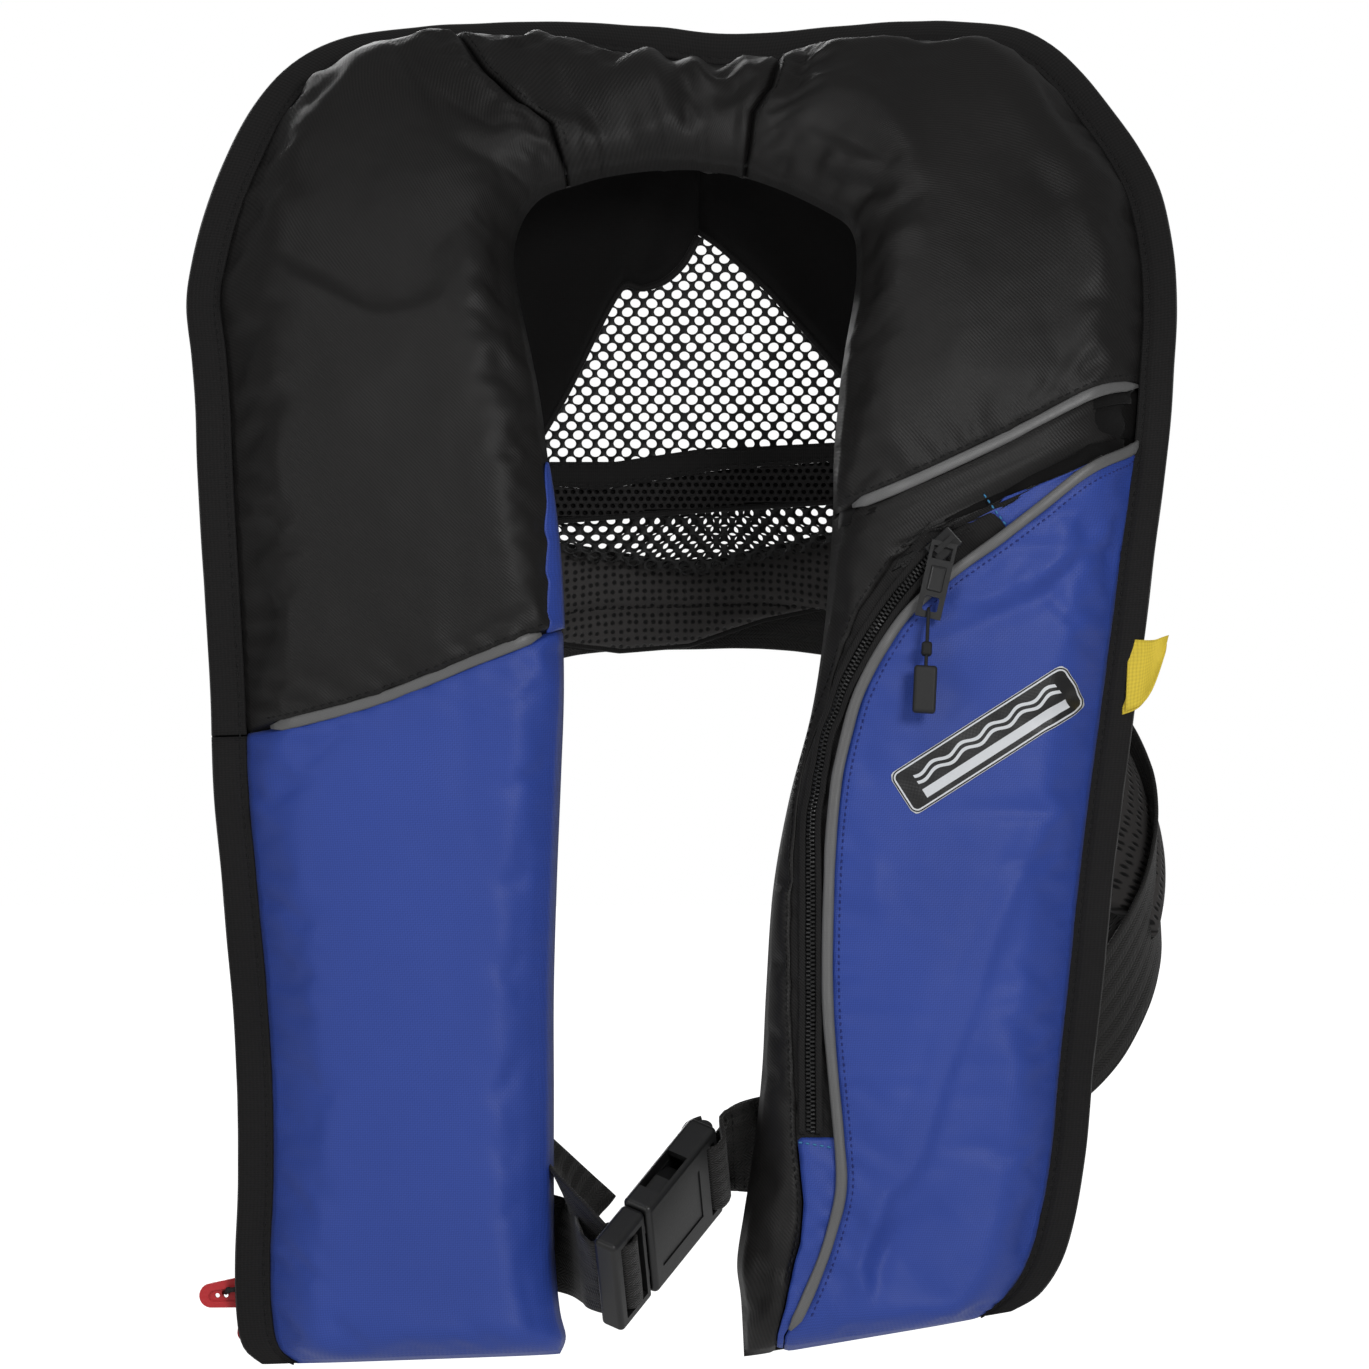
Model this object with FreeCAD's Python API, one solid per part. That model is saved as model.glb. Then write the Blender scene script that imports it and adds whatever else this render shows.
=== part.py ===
import FreeCAD, Part
import math
import os
from FreeCAD import Vector

# Inflatable jacket: a horseshoe casing with a folded gas cell, a gas inflator, a mouth inflation
# tube, a zip, a back panel and a buckled belt.
# Frame: mm, +Z up, -Y is the front of the jacket, +X is the wearer's left.
# Origin: under the middle of the neck arch, where the jacket hangs. Dimensions are taken from the
# level of the lowest edge and the plane of the lobes, and pieces move to the origin when saved.

os.makedirs("parts", exist_ok=True)

# ---------------------------------------------------------------- driving dimensions
ORIGIN = (0.0, 52.6, 479.5)
BINDING_W = 14.0          # edge binding width
SKIN = 1.2                # cover fabric with its lining
EDGE_LIFT = 2.6           # cover height at the binding
FRONT_PUFF = 20.0         # how far the packed cell pushes the front cover out
BACK_PUFF = 8.0           # and the back cover
RISE = 22.0               # distance over which the cover rises from the binding
ROUND = 22.0              # inner edge rounding
END_ROUND = 14.0          # length over which the puff closes at the lobe ends
PANEL_GAP = 0.15          # gap left along each side of a panel
BEND_Z, TOP_Z = 330.0, 545.0   # the casing leans back over the shoulders from here up
BEND_MAX = math.radians(55)
CHEST = 14.0              # chest wrap at x = CHEST_X
CHEST_X = 200.0
WEB_W, WEB_T = 38.0, 1.6  # belt webbing

# Horseshoe outline: outer edge x, z and inner edge x, z, from the wearer's right foot round the
# neck. A place along it is u, counted in stations; a place across it is measured from the outer
# edge, as a distance or as a share of the width.
STATIONS = [
    (-169, 0, -49.8, 4.8), (-176.6, 6.4, -47.4, 11.6), (-179.4, 18.4, -49.8, 22.4),
    (-180.2, 42.4, -51.8, 44.4), (-179, 74.4, -52.2, 74.4), (-179.4, 110.4, -52.2, 110.4),
    (-181.8, 150.4, -52.2, 150.4), (-185.8, 194.4, -51, 194.4), (-189, 230.4, -49.4, 234.4),
    (-190.2, 266.4, -48.2, 270.4), (-192.2, 302.4, -49, 306.4), (-193.8, 330.4, -51, 334.4),
    (-195.4, 358.4, -54.6, 362.4), (-196.6, 382.4, -57.8, 386.4), (-198.6, 404.4, -61.8, 406.4),
    (-201, 424.4, -65.8, 424.4), (-199.4, 441.6, -68.2, 439.2), (-195, 461.6, -68.2, 450.4),
    (-187.4, 483.6, -65, 460.4), (-176.6, 507.2, -59.4, 468), (-161.8, 525.6, -53, 472),
    (-140.6, 536.8, -45, 474.4), (-109.8, 541.6, -34.6, 477.6), (-81.8, 543.2, -23.8, 479.6),
    (-54.6, 544, -13.8, 480.8), (-29.8, 542.8, -5, 481.2), (-7.8, 541.2, 3.4, 481.2),
    (14.2, 538.8, 11, 480.4), (36.2, 539.2, 19, 479.2), (61.4, 541.6, 28.2, 476.8),
    (92.2, 544, 39, 472.8), (112.6, 544, 49.4, 468), (136.6, 541.6, 59, 462.8),
    (151, 534.4, 65.4, 458.4), (163, 522.4, 68.6, 452.4), (174.2, 507.2, 69.4, 444.4),
    (185, 490.4, 69, 434.4), (193.4, 471.2, 67.4, 423.2), (197.8, 446.4, 65, 410.4),
    (198.6, 422.4, 63, 397.6), (197, 398.4, 61.4, 383.2), (195.4, 376.4, 59.8, 364.4),
    (192.2, 350.4, 59.4, 342.4), (188.2, 322.4, 57.8, 316.4), (184.6, 292.4, 55.4, 290.4),
    (180.6, 262.4, 50.6, 260.4), (175.8, 226.4, 41.8, 226.4), (171.4, 190.4, 35.4, 190.4),
    (167.4, 150.4, 32.6, 150.4), (163.8, 118.4, 31, 118.4), (161, 87.2, 27.8, 87.2),
    (156.6, 60.4, 23.8, 61.6), (151, 41.6, 21, 41.6), (142.2, 28.4, 22.6, 26.4),
    (131, 21.6, 23.8, 3.6)]
LAST = len(STATIONS) - 1
U_END = LAST - 0.02

# Seams in the front elevation, as x, z
RIGHT_SEAM = [(-181.4, 252.0), (-153.8, 257.6), (-121.8, 266.4), (-85.8, 280.8), (-48.4, 295.4)]
LEFT_SEAM = [(59.2, 340.2), (86.2, 349.6), (126.2, 366.4), (158.2, 381.6), (196.6, 397.0)]
RIGHT_NECK_SEAM = [(-110, 541.7), (-91.8, 521.2), (-80.6, 505.6), (-66.6, 493.2), (-54.0, 486.0),
                   (-47.0, 473.8)]
LEFT_NECK_SEAM = [(43.4, 540.0), (38.2, 523.2), (38.0, 510.8), (34.4, 499.2), (27.6, 491.2),
                  (24.6, 477.9)]
# Inner edge of the pocket panel, from its top down
POCKET_EDGE = [
    (187.4, 374.4), (176.2, 364.4), (162.2, 356.8), (142.2, 342.4), (126.2, 331.2),
    (106.2, 317.0), (94.2, 306.6), (86.2, 298.4), (77.0, 284.4), (72.4, 275.4), (68.6, 266.4),
    (64.2, 250.4), (61.8, 240.0), (60.2, 230.4), (58.0, 206.4), (56.8, 170.0), (57.0, 144.4),
    (58.6, 121.6), (61.4, 91.6), (62.2, 72.0), (58.6, 55.6), (54.2, 42.0), (46.6, 24.0),
    (39.5, 13.2)]
# Inner edge of the zip facing, from its top down
ZIP_EDGE = [
    (168.2, 359.2), (154.2, 354.4), (120.2, 342.4), (98.2, 334.4), (84.2, 322.4), (70.2, 302.4),
    (58.2, 274.4), (48.2, 242.4), (44.2, 206.4), (43.0, 166.4), (43.6, 126.4), (45.0, 92.4),
    (47.4, 66.4), (46.2, 50.4), (42.6, 36.4), (40.0, 24.0), (37.0, 13.0)]
# Ranges of u searched for points of each seam
RIGHT_SEAM_RANGE = (6, 13)
LEFT_SEAM_RANGE = (38, 45)
LEFT_LOBE_RANGE = (39, LAST)


# ---------------------------------------------------------------- vectors, as plain tuples
def add(a, b, k=1.0):
    return (a[0] + b[0] * k, a[1] + b[1] * k, a[2] + b[2] * k)


def sub(a, b):
    return add(a, b, -1.0)


def neg(a):
    return (-a[0], -a[1], -a[2])


def dot(a, b):
    return sum(p * q for p, q in zip(a, b))


def cross(a, b):
    return (a[1] * b[2] - a[2] * b[1], a[2] * b[0] - a[0] * b[2], a[0] * b[1] - a[1] * b[0])


def unit(a):
    length = math.sqrt(dot(a, a)) or 1.0
    return (a[0] / length, a[1] / length, a[2] / length)


def square_to(a, axis):
    """Unit vector of the part of a that is square to the unit vector axis."""
    return unit(add(a, axis, -dot(a, axis)))


def clamp(value, low=0.0, high=1.0):
    return max(low, min(high, value))


def curve_row(rows, i, f):
    """Catmull-Rom value at share f of the span after row i."""
    last = len(rows) - 1
    four = [rows[clamp(k, 0, last)] for k in (i - 1, i, i + 1, i + 2)]
    return tuple(0.5 * (2 * b + (c - a) * f + (2 * a - 5 * b + 4 * c - d) * f * f
                        + (3 * b - a - 3 * c + d) * f ** 3) for a, b, c, d in zip(*four))


def spline(rows, n):
    """Catmull-Rom through rows of numbers, n samples per span."""
    out = [curve_row(rows, i, s / n) for i in range(len(rows) - 1) for s in range(n)]
    return out + [tuple(rows[-1])]


# ---------------------------------------------------------------- shape of the casing
def station(u):
    u = clamp(u, 0, LAST)
    i = min(int(u), LAST - 1)
    return curve_row(STATIONS, i, u - i)


def width(u):
    outer_x, outer_z, inner_x, inner_z = station(u)
    return math.hypot(inner_x - outer_x, inner_z - outer_z)


ARC_PARTS = 8             # samples per station in the table of arc lengths


def arc_table():
    """Length along the middle of the horseshoe at each sample."""
    lengths = [0.0]
    for i in range(1, LAST * ARC_PARTS + 1):
        a, b = station((i - 1) / ARC_PARTS), station(i / ARC_PARTS)
        dx, dz = (b[0] + b[2] - a[0] - a[2]) / 2, (b[1] + b[3] - a[1] - a[3]) / 2
        lengths.append(lengths[-1] + math.hypot(dx, dz))
    return lengths


ARC = arc_table()


def arc(u):
    f = clamp(u, 0, LAST) * ARC_PARTS
    i = min(int(f), LAST * ARC_PARTS - 1)
    return ARC[i] + (ARC[i + 1] - ARC[i]) * (f - i)


def end_close(u):
    """Share of the puff left near the lobe ends."""
    k = 1 - min(1.0, min(arc(u), ARC[-1] - arc(u)) / END_ROUND)
    return max(0.14, math.sqrt(1 - k * k))


def cover_height(u, across, puff):
    """Distance of a cover from the middle surface of the casing."""
    rise = math.sin(math.pi / 2 * clamp((across - BINDING_W) / RISE))
    s = clamp((across - (width(u) - ROUND)) / ROUND)
    return (EDGE_LIFT + puff * rise * end_close(u)) * math.sqrt(1 - s * s)


def front(u, across):
    return cover_height(u, across, FRONT_PUFF)


def back(u, across):
    return cover_height(u, across, BACK_PUFF)


def bend_angle(z):
    return BEND_MAX * clamp((z - BEND_Z) / (TOP_Z - BEND_Z))


def chest_wrap(x):
    return CHEST * (x / CHEST_X) ** 2


def place(x, z, out):
    """Point of the leaning, wrapped casing, out in front of its middle surface."""
    bend = bend_angle(z)
    lean = -(TOP_Z - BEND_Z) / BEND_MAX * math.log(math.cos(bend))
    return (x, lean + chest_wrap(x) - out * math.cos(bend), z + out * math.sin(bend))


def casing(u, across, out):
    outer_x, outer_z, inner_x, inner_z = station(u)
    f = across / width(u)
    return place(outer_x + (inner_x - outer_x) * f, outer_z + (inner_z - outer_z) * f, out)


def locate(x, z, low, high):
    """u and distance across of a point of the front elevation, u between low and high."""
    def side(u):
        outer_x, outer_z, inner_x, inner_z = station(u)
        return (inner_x - outer_x) * (z - outer_z) - (inner_z - outer_z) * (x - outer_x)

    best, n = None, 240
    for i in range(n):
        a, b = low + (high - low) * i / n, low + (high - low) * (i + 1) / n
        if side(a) * side(b) > 0:
            continue
        for _ in range(30):
            middle = (a + b) / 2
            if side(a) * side(middle) <= 0:
                b = middle
            else:
                a = middle
        outer_x, outer_z, inner_x, inner_z = station(a)
        dx, dz = inner_x - outer_x, inner_z - outer_z
        f = ((x - outer_x) * dx + (z - outer_z) * dz) / (dx ** 2 + dz ** 2)
        if -0.08 < f < 1.08 and (best is None or abs(f - 0.5) < abs(best[1] - 0.5)):
            best = (a, f)
    if best is None:
        raise ValueError(("no station", x, z))
    return best[0], best[1] * width(best[0])


def seam(points, search, by_u=False):
    """Function giving u from the share across, or with by_u the share across from u."""
    rows = []
    for x, z in points:
        u, across = locate(x, z, *search)
        share = across / width(u)
        rows.append((u, share) if by_u else (share, u))
    rows.sort()

    def value(key):
        if key <= rows[0][0]:
            return rows[0][1]
        for (k0, v0), (k1, v1) in zip(rows, rows[1:]):
            if key <= k1:
                return v0 + (v1 - v0) * (key - k0) / max(1e-9, k1 - k0)
        return rows[-1][1]
    return value


right_seam = seam(RIGHT_SEAM, RIGHT_SEAM_RANGE)
left_seam = seam(LEFT_SEAM, LEFT_SEAM_RANGE)
right_neck = seam(RIGHT_NECK_SEAM, (17, 25))
left_neck = seam(LEFT_NECK_SEAM, (25, 31))
pocket_edge = seam(POCKET_EDGE, LEFT_LOBE_RANGE, by_u=True)
zip_edge = seam(ZIP_EDGE, LEFT_LOBE_RANGE, by_u=True)


# ---------------------------------------------------------------- solid builders
def mesh_solid(verts, tris):
    shape = Part.Shape()
    shape.makeShapeFromMesh(([Vector(*p) for p in verts], [tuple(t) for t in tris]), 0.001)
    solid = Part.Solid(Part.Shell(shape.Faces))
    if solid.Volume < 0:
        solid.reverse()
    return solid


def sheet(top, bottom):
    """Closed solid between two grids of points with the same rows and columns."""
    n, m = len(top), len(top[0])
    verts = [p for row in top for p in row] + [p for row in bottom for p in row]

    def t(i, j):
        return i * m + j

    def b(i, j):
        return n * m + i * m + j

    tris = []
    for i in range(n - 1):
        for j in range(m - 1):
            tris += [(t(i, j), t(i + 1, j), t(i + 1, j + 1)),
                     (t(i, j), t(i + 1, j + 1), t(i, j + 1)),
                     (b(i, j), b(i + 1, j + 1), b(i + 1, j)),
                     (b(i, j), b(i, j + 1), b(i + 1, j + 1))]
    e = m - 1
    for i in range(n - 1):
        tris += [(t(i, 0), b(i, 0), b(i + 1, 0)), (t(i, 0), b(i + 1, 0), t(i + 1, 0)),
                 (t(i, e), b(i + 1, e), b(i, e)), (t(i, e), t(i + 1, e), b(i + 1, e))]
    e = n - 1
    for j in range(m - 1):
        tris += [(t(0, j), b(0, j + 1), b(0, j)), (t(0, j), t(0, j + 1), b(0, j + 1)),
                 (t(e, j), b(e, j), b(e, j + 1)), (t(e, j), b(e, j + 1), t(e, j + 1))]
    return mesh_solid(verts, tris)


def step_count(u0, u1, step):
    return max(2, int(round(abs(arc(u1) - arc(u0)) / step)))


def cosine_share(share):
    """Share from 0 to 1, crowded towards both ends."""
    return (1 - math.cos(share * math.pi)) / 2


def panel(start, end, near, far, side=1, step=15.0, cols=9, thick=SKIN, lift=0.0, inner=False):
    """Skin panel on the front (side 1) or back (side -1) cover.
    start and end give u from the share across the panel, near and far give the share across
    the casing from u. An inner panel runs round to the inner edge."""
    height = front if side > 0 else back
    n = step_count(start(0.5), end(0.5), step)
    top, bottom = [], []
    for i in range(n + 1):
        top_row, bottom_row = [], []
        for j in range(cols + 1):
            share = cosine_share(j / cols) if inner else j / cols
            u = start(share) + (end(share) - start(share)) * i / n
            w = width(u)
            d_near = near(u) * w + PANEL_GAP
            d_far = far(u) * w - (0 if inner else PANEL_GAP)
            d = d_near + (d_far - d_near) * share
            # normal of the cover's cross section, from a short chord
            d0, d1 = max(0, d - 0.4), min(w, d + 0.4)
            h0, h1 = height(u, d0), height(u, d1)
            chord = math.hypot(d1 - d0, h1 - h0)
            n_across, n_out = -(h1 - h0) / chord, (d1 - d0) / chord
            if inner and j == cols:
                n_across, n_out = 1.0, 0.0
            out = max(height(u, d) + lift * n_out, 0.15)
            d_top = d + lift * n_across
            top_row.append(casing(u, d_top, side * out))
            bottom_row.append(casing(u, d_top - n_across * thick,
                                     side * max(out - n_out * thick, 0.15)))
        top.append(top_row)
        bottom.append(bottom_row)
    return sheet(top, bottom)


def edge_strip(u0, u1, d0, d1, out0, out1):
    """Flat strip along the outer edge, from d0 to d1 across and out0 to out1 forward."""
    n = step_count(u0, u1, 15.0)
    us = [u0 + (u1 - u0) * i / n for i in range(n + 1)]
    ds = [d0, (d0 + d1) / 2, d1]
    return sheet([[casing(u, d, out1) for d in ds] for u in us],
                 [[casing(u, d, out0) for d in ds] for u in us])


def ribbon(rows, wide, thick, lift=0.0):
    """Flat ribbon through rows of point and width direction; wide may be a list."""
    top, bottom = [], []
    for i, row in enumerate(rows):
        tangent = unit(sub(rows[min(len(rows) - 1, i + 1)], rows[max(0, i - 1)]))
        across = square_to(row[3:], tangent)
        normal = unit(cross(tangent, across))
        half = (wide[i] if isinstance(wide, list) else wide) / 2
        centre = add(row, normal, lift)
        points = [add(centre, across, -half), centre, add(centre, across, half)]
        top.append([add(p, normal, thick / 2) for p in points])
        bottom.append([add(p, normal, -thick / 2) for p in points])
    return sheet(top, bottom)


def cover_ribbon(points, search, wide, low, high, step=7.0):
    """Ribbon laid along elevation points, from low to high above the front cover."""
    dense = spline(points, 6)
    line = [dense[0]]
    for p in dense[1:-1]:
        if math.hypot(p[0] - line[-1][0], p[1] - line[-1][1]) >= step:
            line.append(p)
    line.append(dense[-1])
    top, bottom = [], []
    for i, (x, z) in enumerate(line):
        a, b = line[max(0, i - 1)], line[min(len(line) - 1, i + 1)]
        dx, dz = b[0] - a[0], b[1] - a[1]
        length = math.hypot(dx, dz)
        top_row, bottom_row = [], []
        for k in (-0.5, 0.0, 0.5):
            edge_x, edge_z = x - dz / length * wide * k, z + dx / length * wide * k
            # an edge point may fall outside the casing: the centre line's height serves there
            try:
                u, d = locate(edge_x, edge_z, *search)
            except ValueError:
                u, d = locate(x, z, *search)
            height = front(u, clamp(d, BINDING_W * 0.2, width(u) - 0.3))
            top_row.append(place(edge_x, edge_z, height + high))
            bottom_row.append(place(edge_x, edge_z, height + low))
        top.append(top_row)
        bottom.append(bottom_row)
    return sheet(top, bottom)


def box(x0, x1, y0, y1, z0, z1):
    return Part.makeBox(x1 - x0, y1 - y0, z1 - z0, Vector(x0, y0, z0))


def rod(radius, length, start, direction=(0, 0, 1)):
    return Part.makeCylinder(radius, length, Vector(*start), Vector(*direction))


def polygon_face(points):
    return Part.Face(Part.makePolygon([Vector(*p) for p in points + [points[0]]]))


def soften(solid, radius):
    """Rounds every edge; the sharp solid is kept where the fillet fails."""
    try:
        rounded = solid.makeFillet(radius, solid.Edges)
        if rounded.isValid() and rounded.Volume > 0:
            return rounded
    except Exception:
        pass
    return solid


def revolve(profile, x, y):
    """Profile of (r, z) points turned about the vertical line through x, y."""
    face = polygon_face([(r, 0, z) for r, z in profile])
    solid = face.revolve(Vector(0, 0, 0), Vector(0, 0, 1), 360).Solids[0]
    solid.translate(Vector(x, y, 0))
    return solid


def sweep(edges, radius, frenet=False):
    """Round bar along edges, its circle square to the start of the first."""
    first = edges[0]
    start = first.valueAt(first.FirstParameter)
    tangent = first.tangentAt(first.FirstParameter)
    circle = Part.Wire(Part.makeCircle(radius, start, tangent))
    shape = Part.Wire(edges).makePipeShell([circle], True, frenet)
    return shape if shape.ShapeType == "Solid" else Part.Solid(shape)


def line(a, b):
    return Part.makeLine(Vector(*a), Vector(*b))


def arc_edge(a, middle, b):
    return Part.Arc(Vector(*a), Vector(*middle), Vector(*b)).toShape()


def frame(x_axis, y_axis, z_axis, origin):
    """Placement of a local frame."""
    values = [v for row in zip(x_axis, y_axis, z_axis, origin) for v in row]
    return FreeCAD.Placement(FreeCAD.Matrix(*values, 0, 0, 0, 1))


def hanging_frame(down, origin):
    """Local y runs down the hanging piece, z to the front."""
    side = square_to((1, 0, 0), down)
    return frame(neg(side), down, unit(cross(down, side)), origin)


def placed(shape, placement):
    moved = shape.copy()
    moved.Placement = placement.multiply(moved.Placement)
    return moved


def save(name, shape):
    solids = shape.Solids
    out = (solids[0] if len(solids) == 1 else Part.makeCompound(solids)).copy()
    out.translate(Vector(*neg(ORIGIN)))
    out.exportStep("parts/" + name + ".step")


# ---------------------------------------------------------------- casing: fabric panels
def always(value):
    return lambda _: value


def shifted(function, amount):
    return lambda key: function(key) + amount


def binding_share(u):
    return BINDING_W / width(u)


inner_edge = always(1.0)
lobe_end = always(U_END)
SEAM_GAP = 0.006          # in u, half the gap at the lobe seams
NECK_GAP = 0.02           # in u, half the gap at the neck seams
U_POCKET_TOP = locate(*POCKET_EDGE[0], 38, 46)[0]
U_ZIP_TOP = locate(*ZIP_EDGE[0], 38, 48)[0]
U_TAPE_TOP = locate(120.2, 338.4, 39, 48)[0]
U_TAPE_BOTTOM = locate(50, 92.4, 44, LAST)[0]


def gusset_near(u):
    """Outer side of the gusset: along the pocket panel, then along the zip facing."""
    edge = pocket_edge(u) + 0.01 if u < U_ZIP_TOP else zip_edge(u) + 0.016
    return max(binding_share(u), edge)


def facing_far(u):
    return max(zip_edge(u) - 0.012, pocket_edge(u) + 0.02)


def front_panel(start, end, **options):
    """Front panel from the binding to the inner edge."""
    return panel(start, end, binding_share, inner_edge, inner=True, **options)


def facing(start, end, **options):
    """Strip between the pocket panel and the inner gusset."""
    return panel(always(start), always(end), shifted(pocket_edge, 0.008), facing_far,
                 step=5, **options)


save("cover_back", front_panel(always(0.02), lobe_end, side=-1, cols=8, step=17))
save("right_lower_panel",
     front_panel(always(0.02), shifted(right_seam, -SEAM_GAP), cols=11, step=14))
save("right_shoulder_panel",
     front_panel(shifted(right_seam, SEAM_GAP), shifted(right_neck, -NECK_GAP)))
save("neck_panel",
     front_panel(shifted(right_neck, NECK_GAP), shifted(left_neck, -NECK_GAP), step=12))
save("left_shoulder_panel",
     front_panel(shifted(left_neck, NECK_GAP), shifted(left_seam, -SEAM_GAP)))
save("left_inner_gusset", panel(shifted(left_seam, 0.115), lobe_end, gusset_near, inner_edge,
                                inner=True, cols=8, step=5))
save("left_pocket_panel", panel(always(U_POCKET_TOP + 0.55), lobe_end, binding_share,
                                shifted(pocket_edge, -0.004), step=7))
save("zip_facing_top", facing(U_ZIP_TOP + 0.5, U_TAPE_TOP - 0.02, cols=3))
save("zip_tape", facing(U_TAPE_TOP + 0.02, U_TAPE_BOTTOM - 0.02, cols=4, lift=-0.4, thick=0.8))
save("zip_facing_bottom", facing(U_TAPE_BOTTOM + 0.02, U_END - 0.25, cols=3))
save("pocket_lining", panel(always(45.0), always(52.0), lambda u: 24 / width(u), always(0.80),
                            cols=5, step=24, lift=-1.7, thick=0.5))

# Edge binding and the hook-and-loop closure under it.
# Columns: name, u from, u to, distance across from, to, forward offset from, to
U_SPLIT = right_seam(0.0)
HEM = BINDING_W - 0.5
TAPE0, TAPE1 = 1.2, BINDING_W - 1.4
EDGE_STRIPS = [
    ("right_front_binding", 0.05, U_SPLIT - 0.01, 0.0, HEM, 1.7, 3.7),
    ("main_front_binding", U_SPLIT + 0.01, U_END, 0.0, HEM, 1.7, 3.7),
    ("back_binding", 0.05, U_END, 0.0, BINDING_W - 1.0, -3.7, -1.7),
    ("right_hook_tape", 3.3, U_SPLIT - 0.01, TAPE0, TAPE1, 0.15, 1.3),
    ("main_hook_tape", U_SPLIT + 0.01, U_END - 0.4, TAPE0, TAPE1, 0.15, 1.3),
    ("loop_tape", 3.3, U_END - 0.4, TAPE0, TAPE1, -1.3, -0.15)]
for name, *sizes in EDGE_STRIPS:
    save(name, edge_strip(*sizes))

# Reflective piping
right_line = [(RIGHT_SEAM[0][0] + 15, RIGHT_SEAM[0][1] + 6.5)]
right_line += [(x, z + 3.2) for x, z in RIGHT_SEAM[1:4]] + [(-58.0, 294.6)]
left_line = [(67.0, 343.4)] + LEFT_SEAM[1:4] + [(180.0, 390.9)]
pocket_line = [(177.0, 365.8)] + POCKET_EDGE[2:-1]
save("right_piping", cover_ribbon(right_line, RIGHT_SEAM_RANGE, 4.6, 1.1, 2.6))
save("left_upper_piping", cover_ribbon(left_line, LEFT_SEAM_RANGE, 4.6, 0.9, 2.4))
save("pocket_piping", cover_ribbon(pocket_line, LEFT_LOBE_RANGE, 3.4, 0.5, 2.5, step=6))


def service_tag():
    """Ribbon held in the left outer seam, tapering to its free end."""
    x, y, _ = casing(45.0, 1.0, -4.6)
    points = spline([(x - 6, y + 1.0, 279.0), (x + 2.5, y + 2.0, 279.5),
                     (190.0, y + 3.0, 281.5), (194.5, y + 6, 284.0)], 4)
    widths = [22.0] * 6 + [21, 20, 18, 16, 13, 9, 4.0]
    return ribbon([p + (-0.25, 0, 1) for p in points], widths, 0.5)


def printed_patch():
    """Blank patch lying on the pocket panel."""
    centre_x, centre_z, turn = 120.8, 250.6, math.radians(32.6)
    length, height = 83, 19
    top, bottom = [], []
    for i in range(9):
        top_row, bottom_row = [], []
        for j in range(4):
            a, b = length * (i / 8 - 0.5), height * (j / 3 - 0.5)
            x = centre_x + a * math.cos(turn) - b * math.sin(turn)
            z = centre_z + a * math.sin(turn) + b * math.cos(turn)
            u, d = locate(x, z, 40, 50)
            top_row.append(casing(u, d, front(u, d) + 0.95))
            bottom_row.append(casing(u, d, front(u, d) + 0.45))
        top.append(top_row)
        bottom.append(bottom_row)
    return sheet(top, bottom)


save("service_tag", service_tag())
save("printed_patch", printed_patch())


# ---------------------------------------------------------------- gas cell inside the casing
def cell_outer(u):
    """Distance of the cell from the outer edge; it stands back beside the inflator."""
    z = station(u)[1]
    if u >= 20 or z >= 345:
        return 18.0
    if z < 206:
        return 62.0
    if z < 322:
        return 66.0
    return 66.0 - (z - 322) / 23 * 48.0


def gas_cell():
    u0, u1 = locate(-60, 52, 0, 6)[0], locate(60, 24, 44, LAST)[0]
    n = step_count(u0, u1, 15)
    top, bottom = [], []
    for i in range(n + 1):
        u = u0 + (u1 - u0) * i / n
        d0, d1 = cell_outer(u), width(u) - (7.0 if u < 32 else 9.0)
        # the left side leaves more room under the front cover
        front_room = 3.7 if u < 30 else 8.7
        ds = [d0 + (d1 - d0) * cosine_share(j / 10) for j in range(11)]
        top.append([casing(u, d, max(0.8, front(u, d) - front_room)) for d in ds])
        bottom.append([casing(u, d, -max(0.8, back(u, d) - 3.4)) for d in ds])
    return sheet(top, bottom)


save("gas_cell", gas_cell())

# ---------------------------------------------------------------- inflator, wearer's right lobe
CYL_X, CYL_Y = -141.0, 1.5            # axis of the cylinder
CYL_R, CYL_Z0, CYL_Z1 = 12.5, 90.5, 198.0
LEVER_PIVOT_Z, LEVER_LEN = 60.0, 30.0
LEVER_REST = math.radians(40)         # the lever hangs this far inboard
LEVER_T = 3.8
STEM_X, STEM_Z, STEM_R = CYL_X + 10.6, 80.0, 3.5
STEM_HOLE_R = STEM_R + 0.1
NUT_R, NUT_T = 7.2, 4.0               # across half the corners, thickness
BODY_FRONT = CYL_Y - 9.8              # plane just in front of the body


def y_rod(radius, length, x, y, z):
    return rod(radius, length, (x, y, z), (0, 1, 0))


def inflator_body():
    x, y = CYL_X, CYL_Y
    body = soften(box(x - 9, x + 17, y - 9.5, y + 7.0, 66.5, 97.0), 2.2)
    body = body.fuse(rod(10.0, 4.0, (x, y - 0.5, 96.0)))
    # ears either side of the lever, and its pivot hole
    for y0, y1 in ((-6.2, -2.2), (2.2, 6.2)):
        body = body.fuse(box(x - 7, x + 7, y + y0, y + y1, 53.5, 70))
    body = body.cut(y_rod(1.55, 20, x, y - 10, LEVER_PIVOT_Z))
    # firing pin bore, cylinder neck seat, stem hole
    body = body.cut(rod(2.5, 30, (x, y, 65)))
    body = body.cut(rod(4.85, 20, (x, y, 89.0)))
    body = body.cut(y_rod(STEM_HOLE_R, 40, STEM_X, y - 20, STEM_Z))
    # grooves in the outboard side
    for k in range(4):
        z = 70.5 + 6 * k
        body = body.cut(box(x - 10, x - 8.4, y - 6, y + 4, z, z + 2))
    return body


def lever_point(along, across):
    """x, z of a point of the resting lever, measured from its pivot."""
    s, c = math.sin(LEVER_REST), math.cos(LEVER_REST)
    return (CYL_X + along * s + across * c, LEVER_PIVOT_Z - along * c + across * s)


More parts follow.
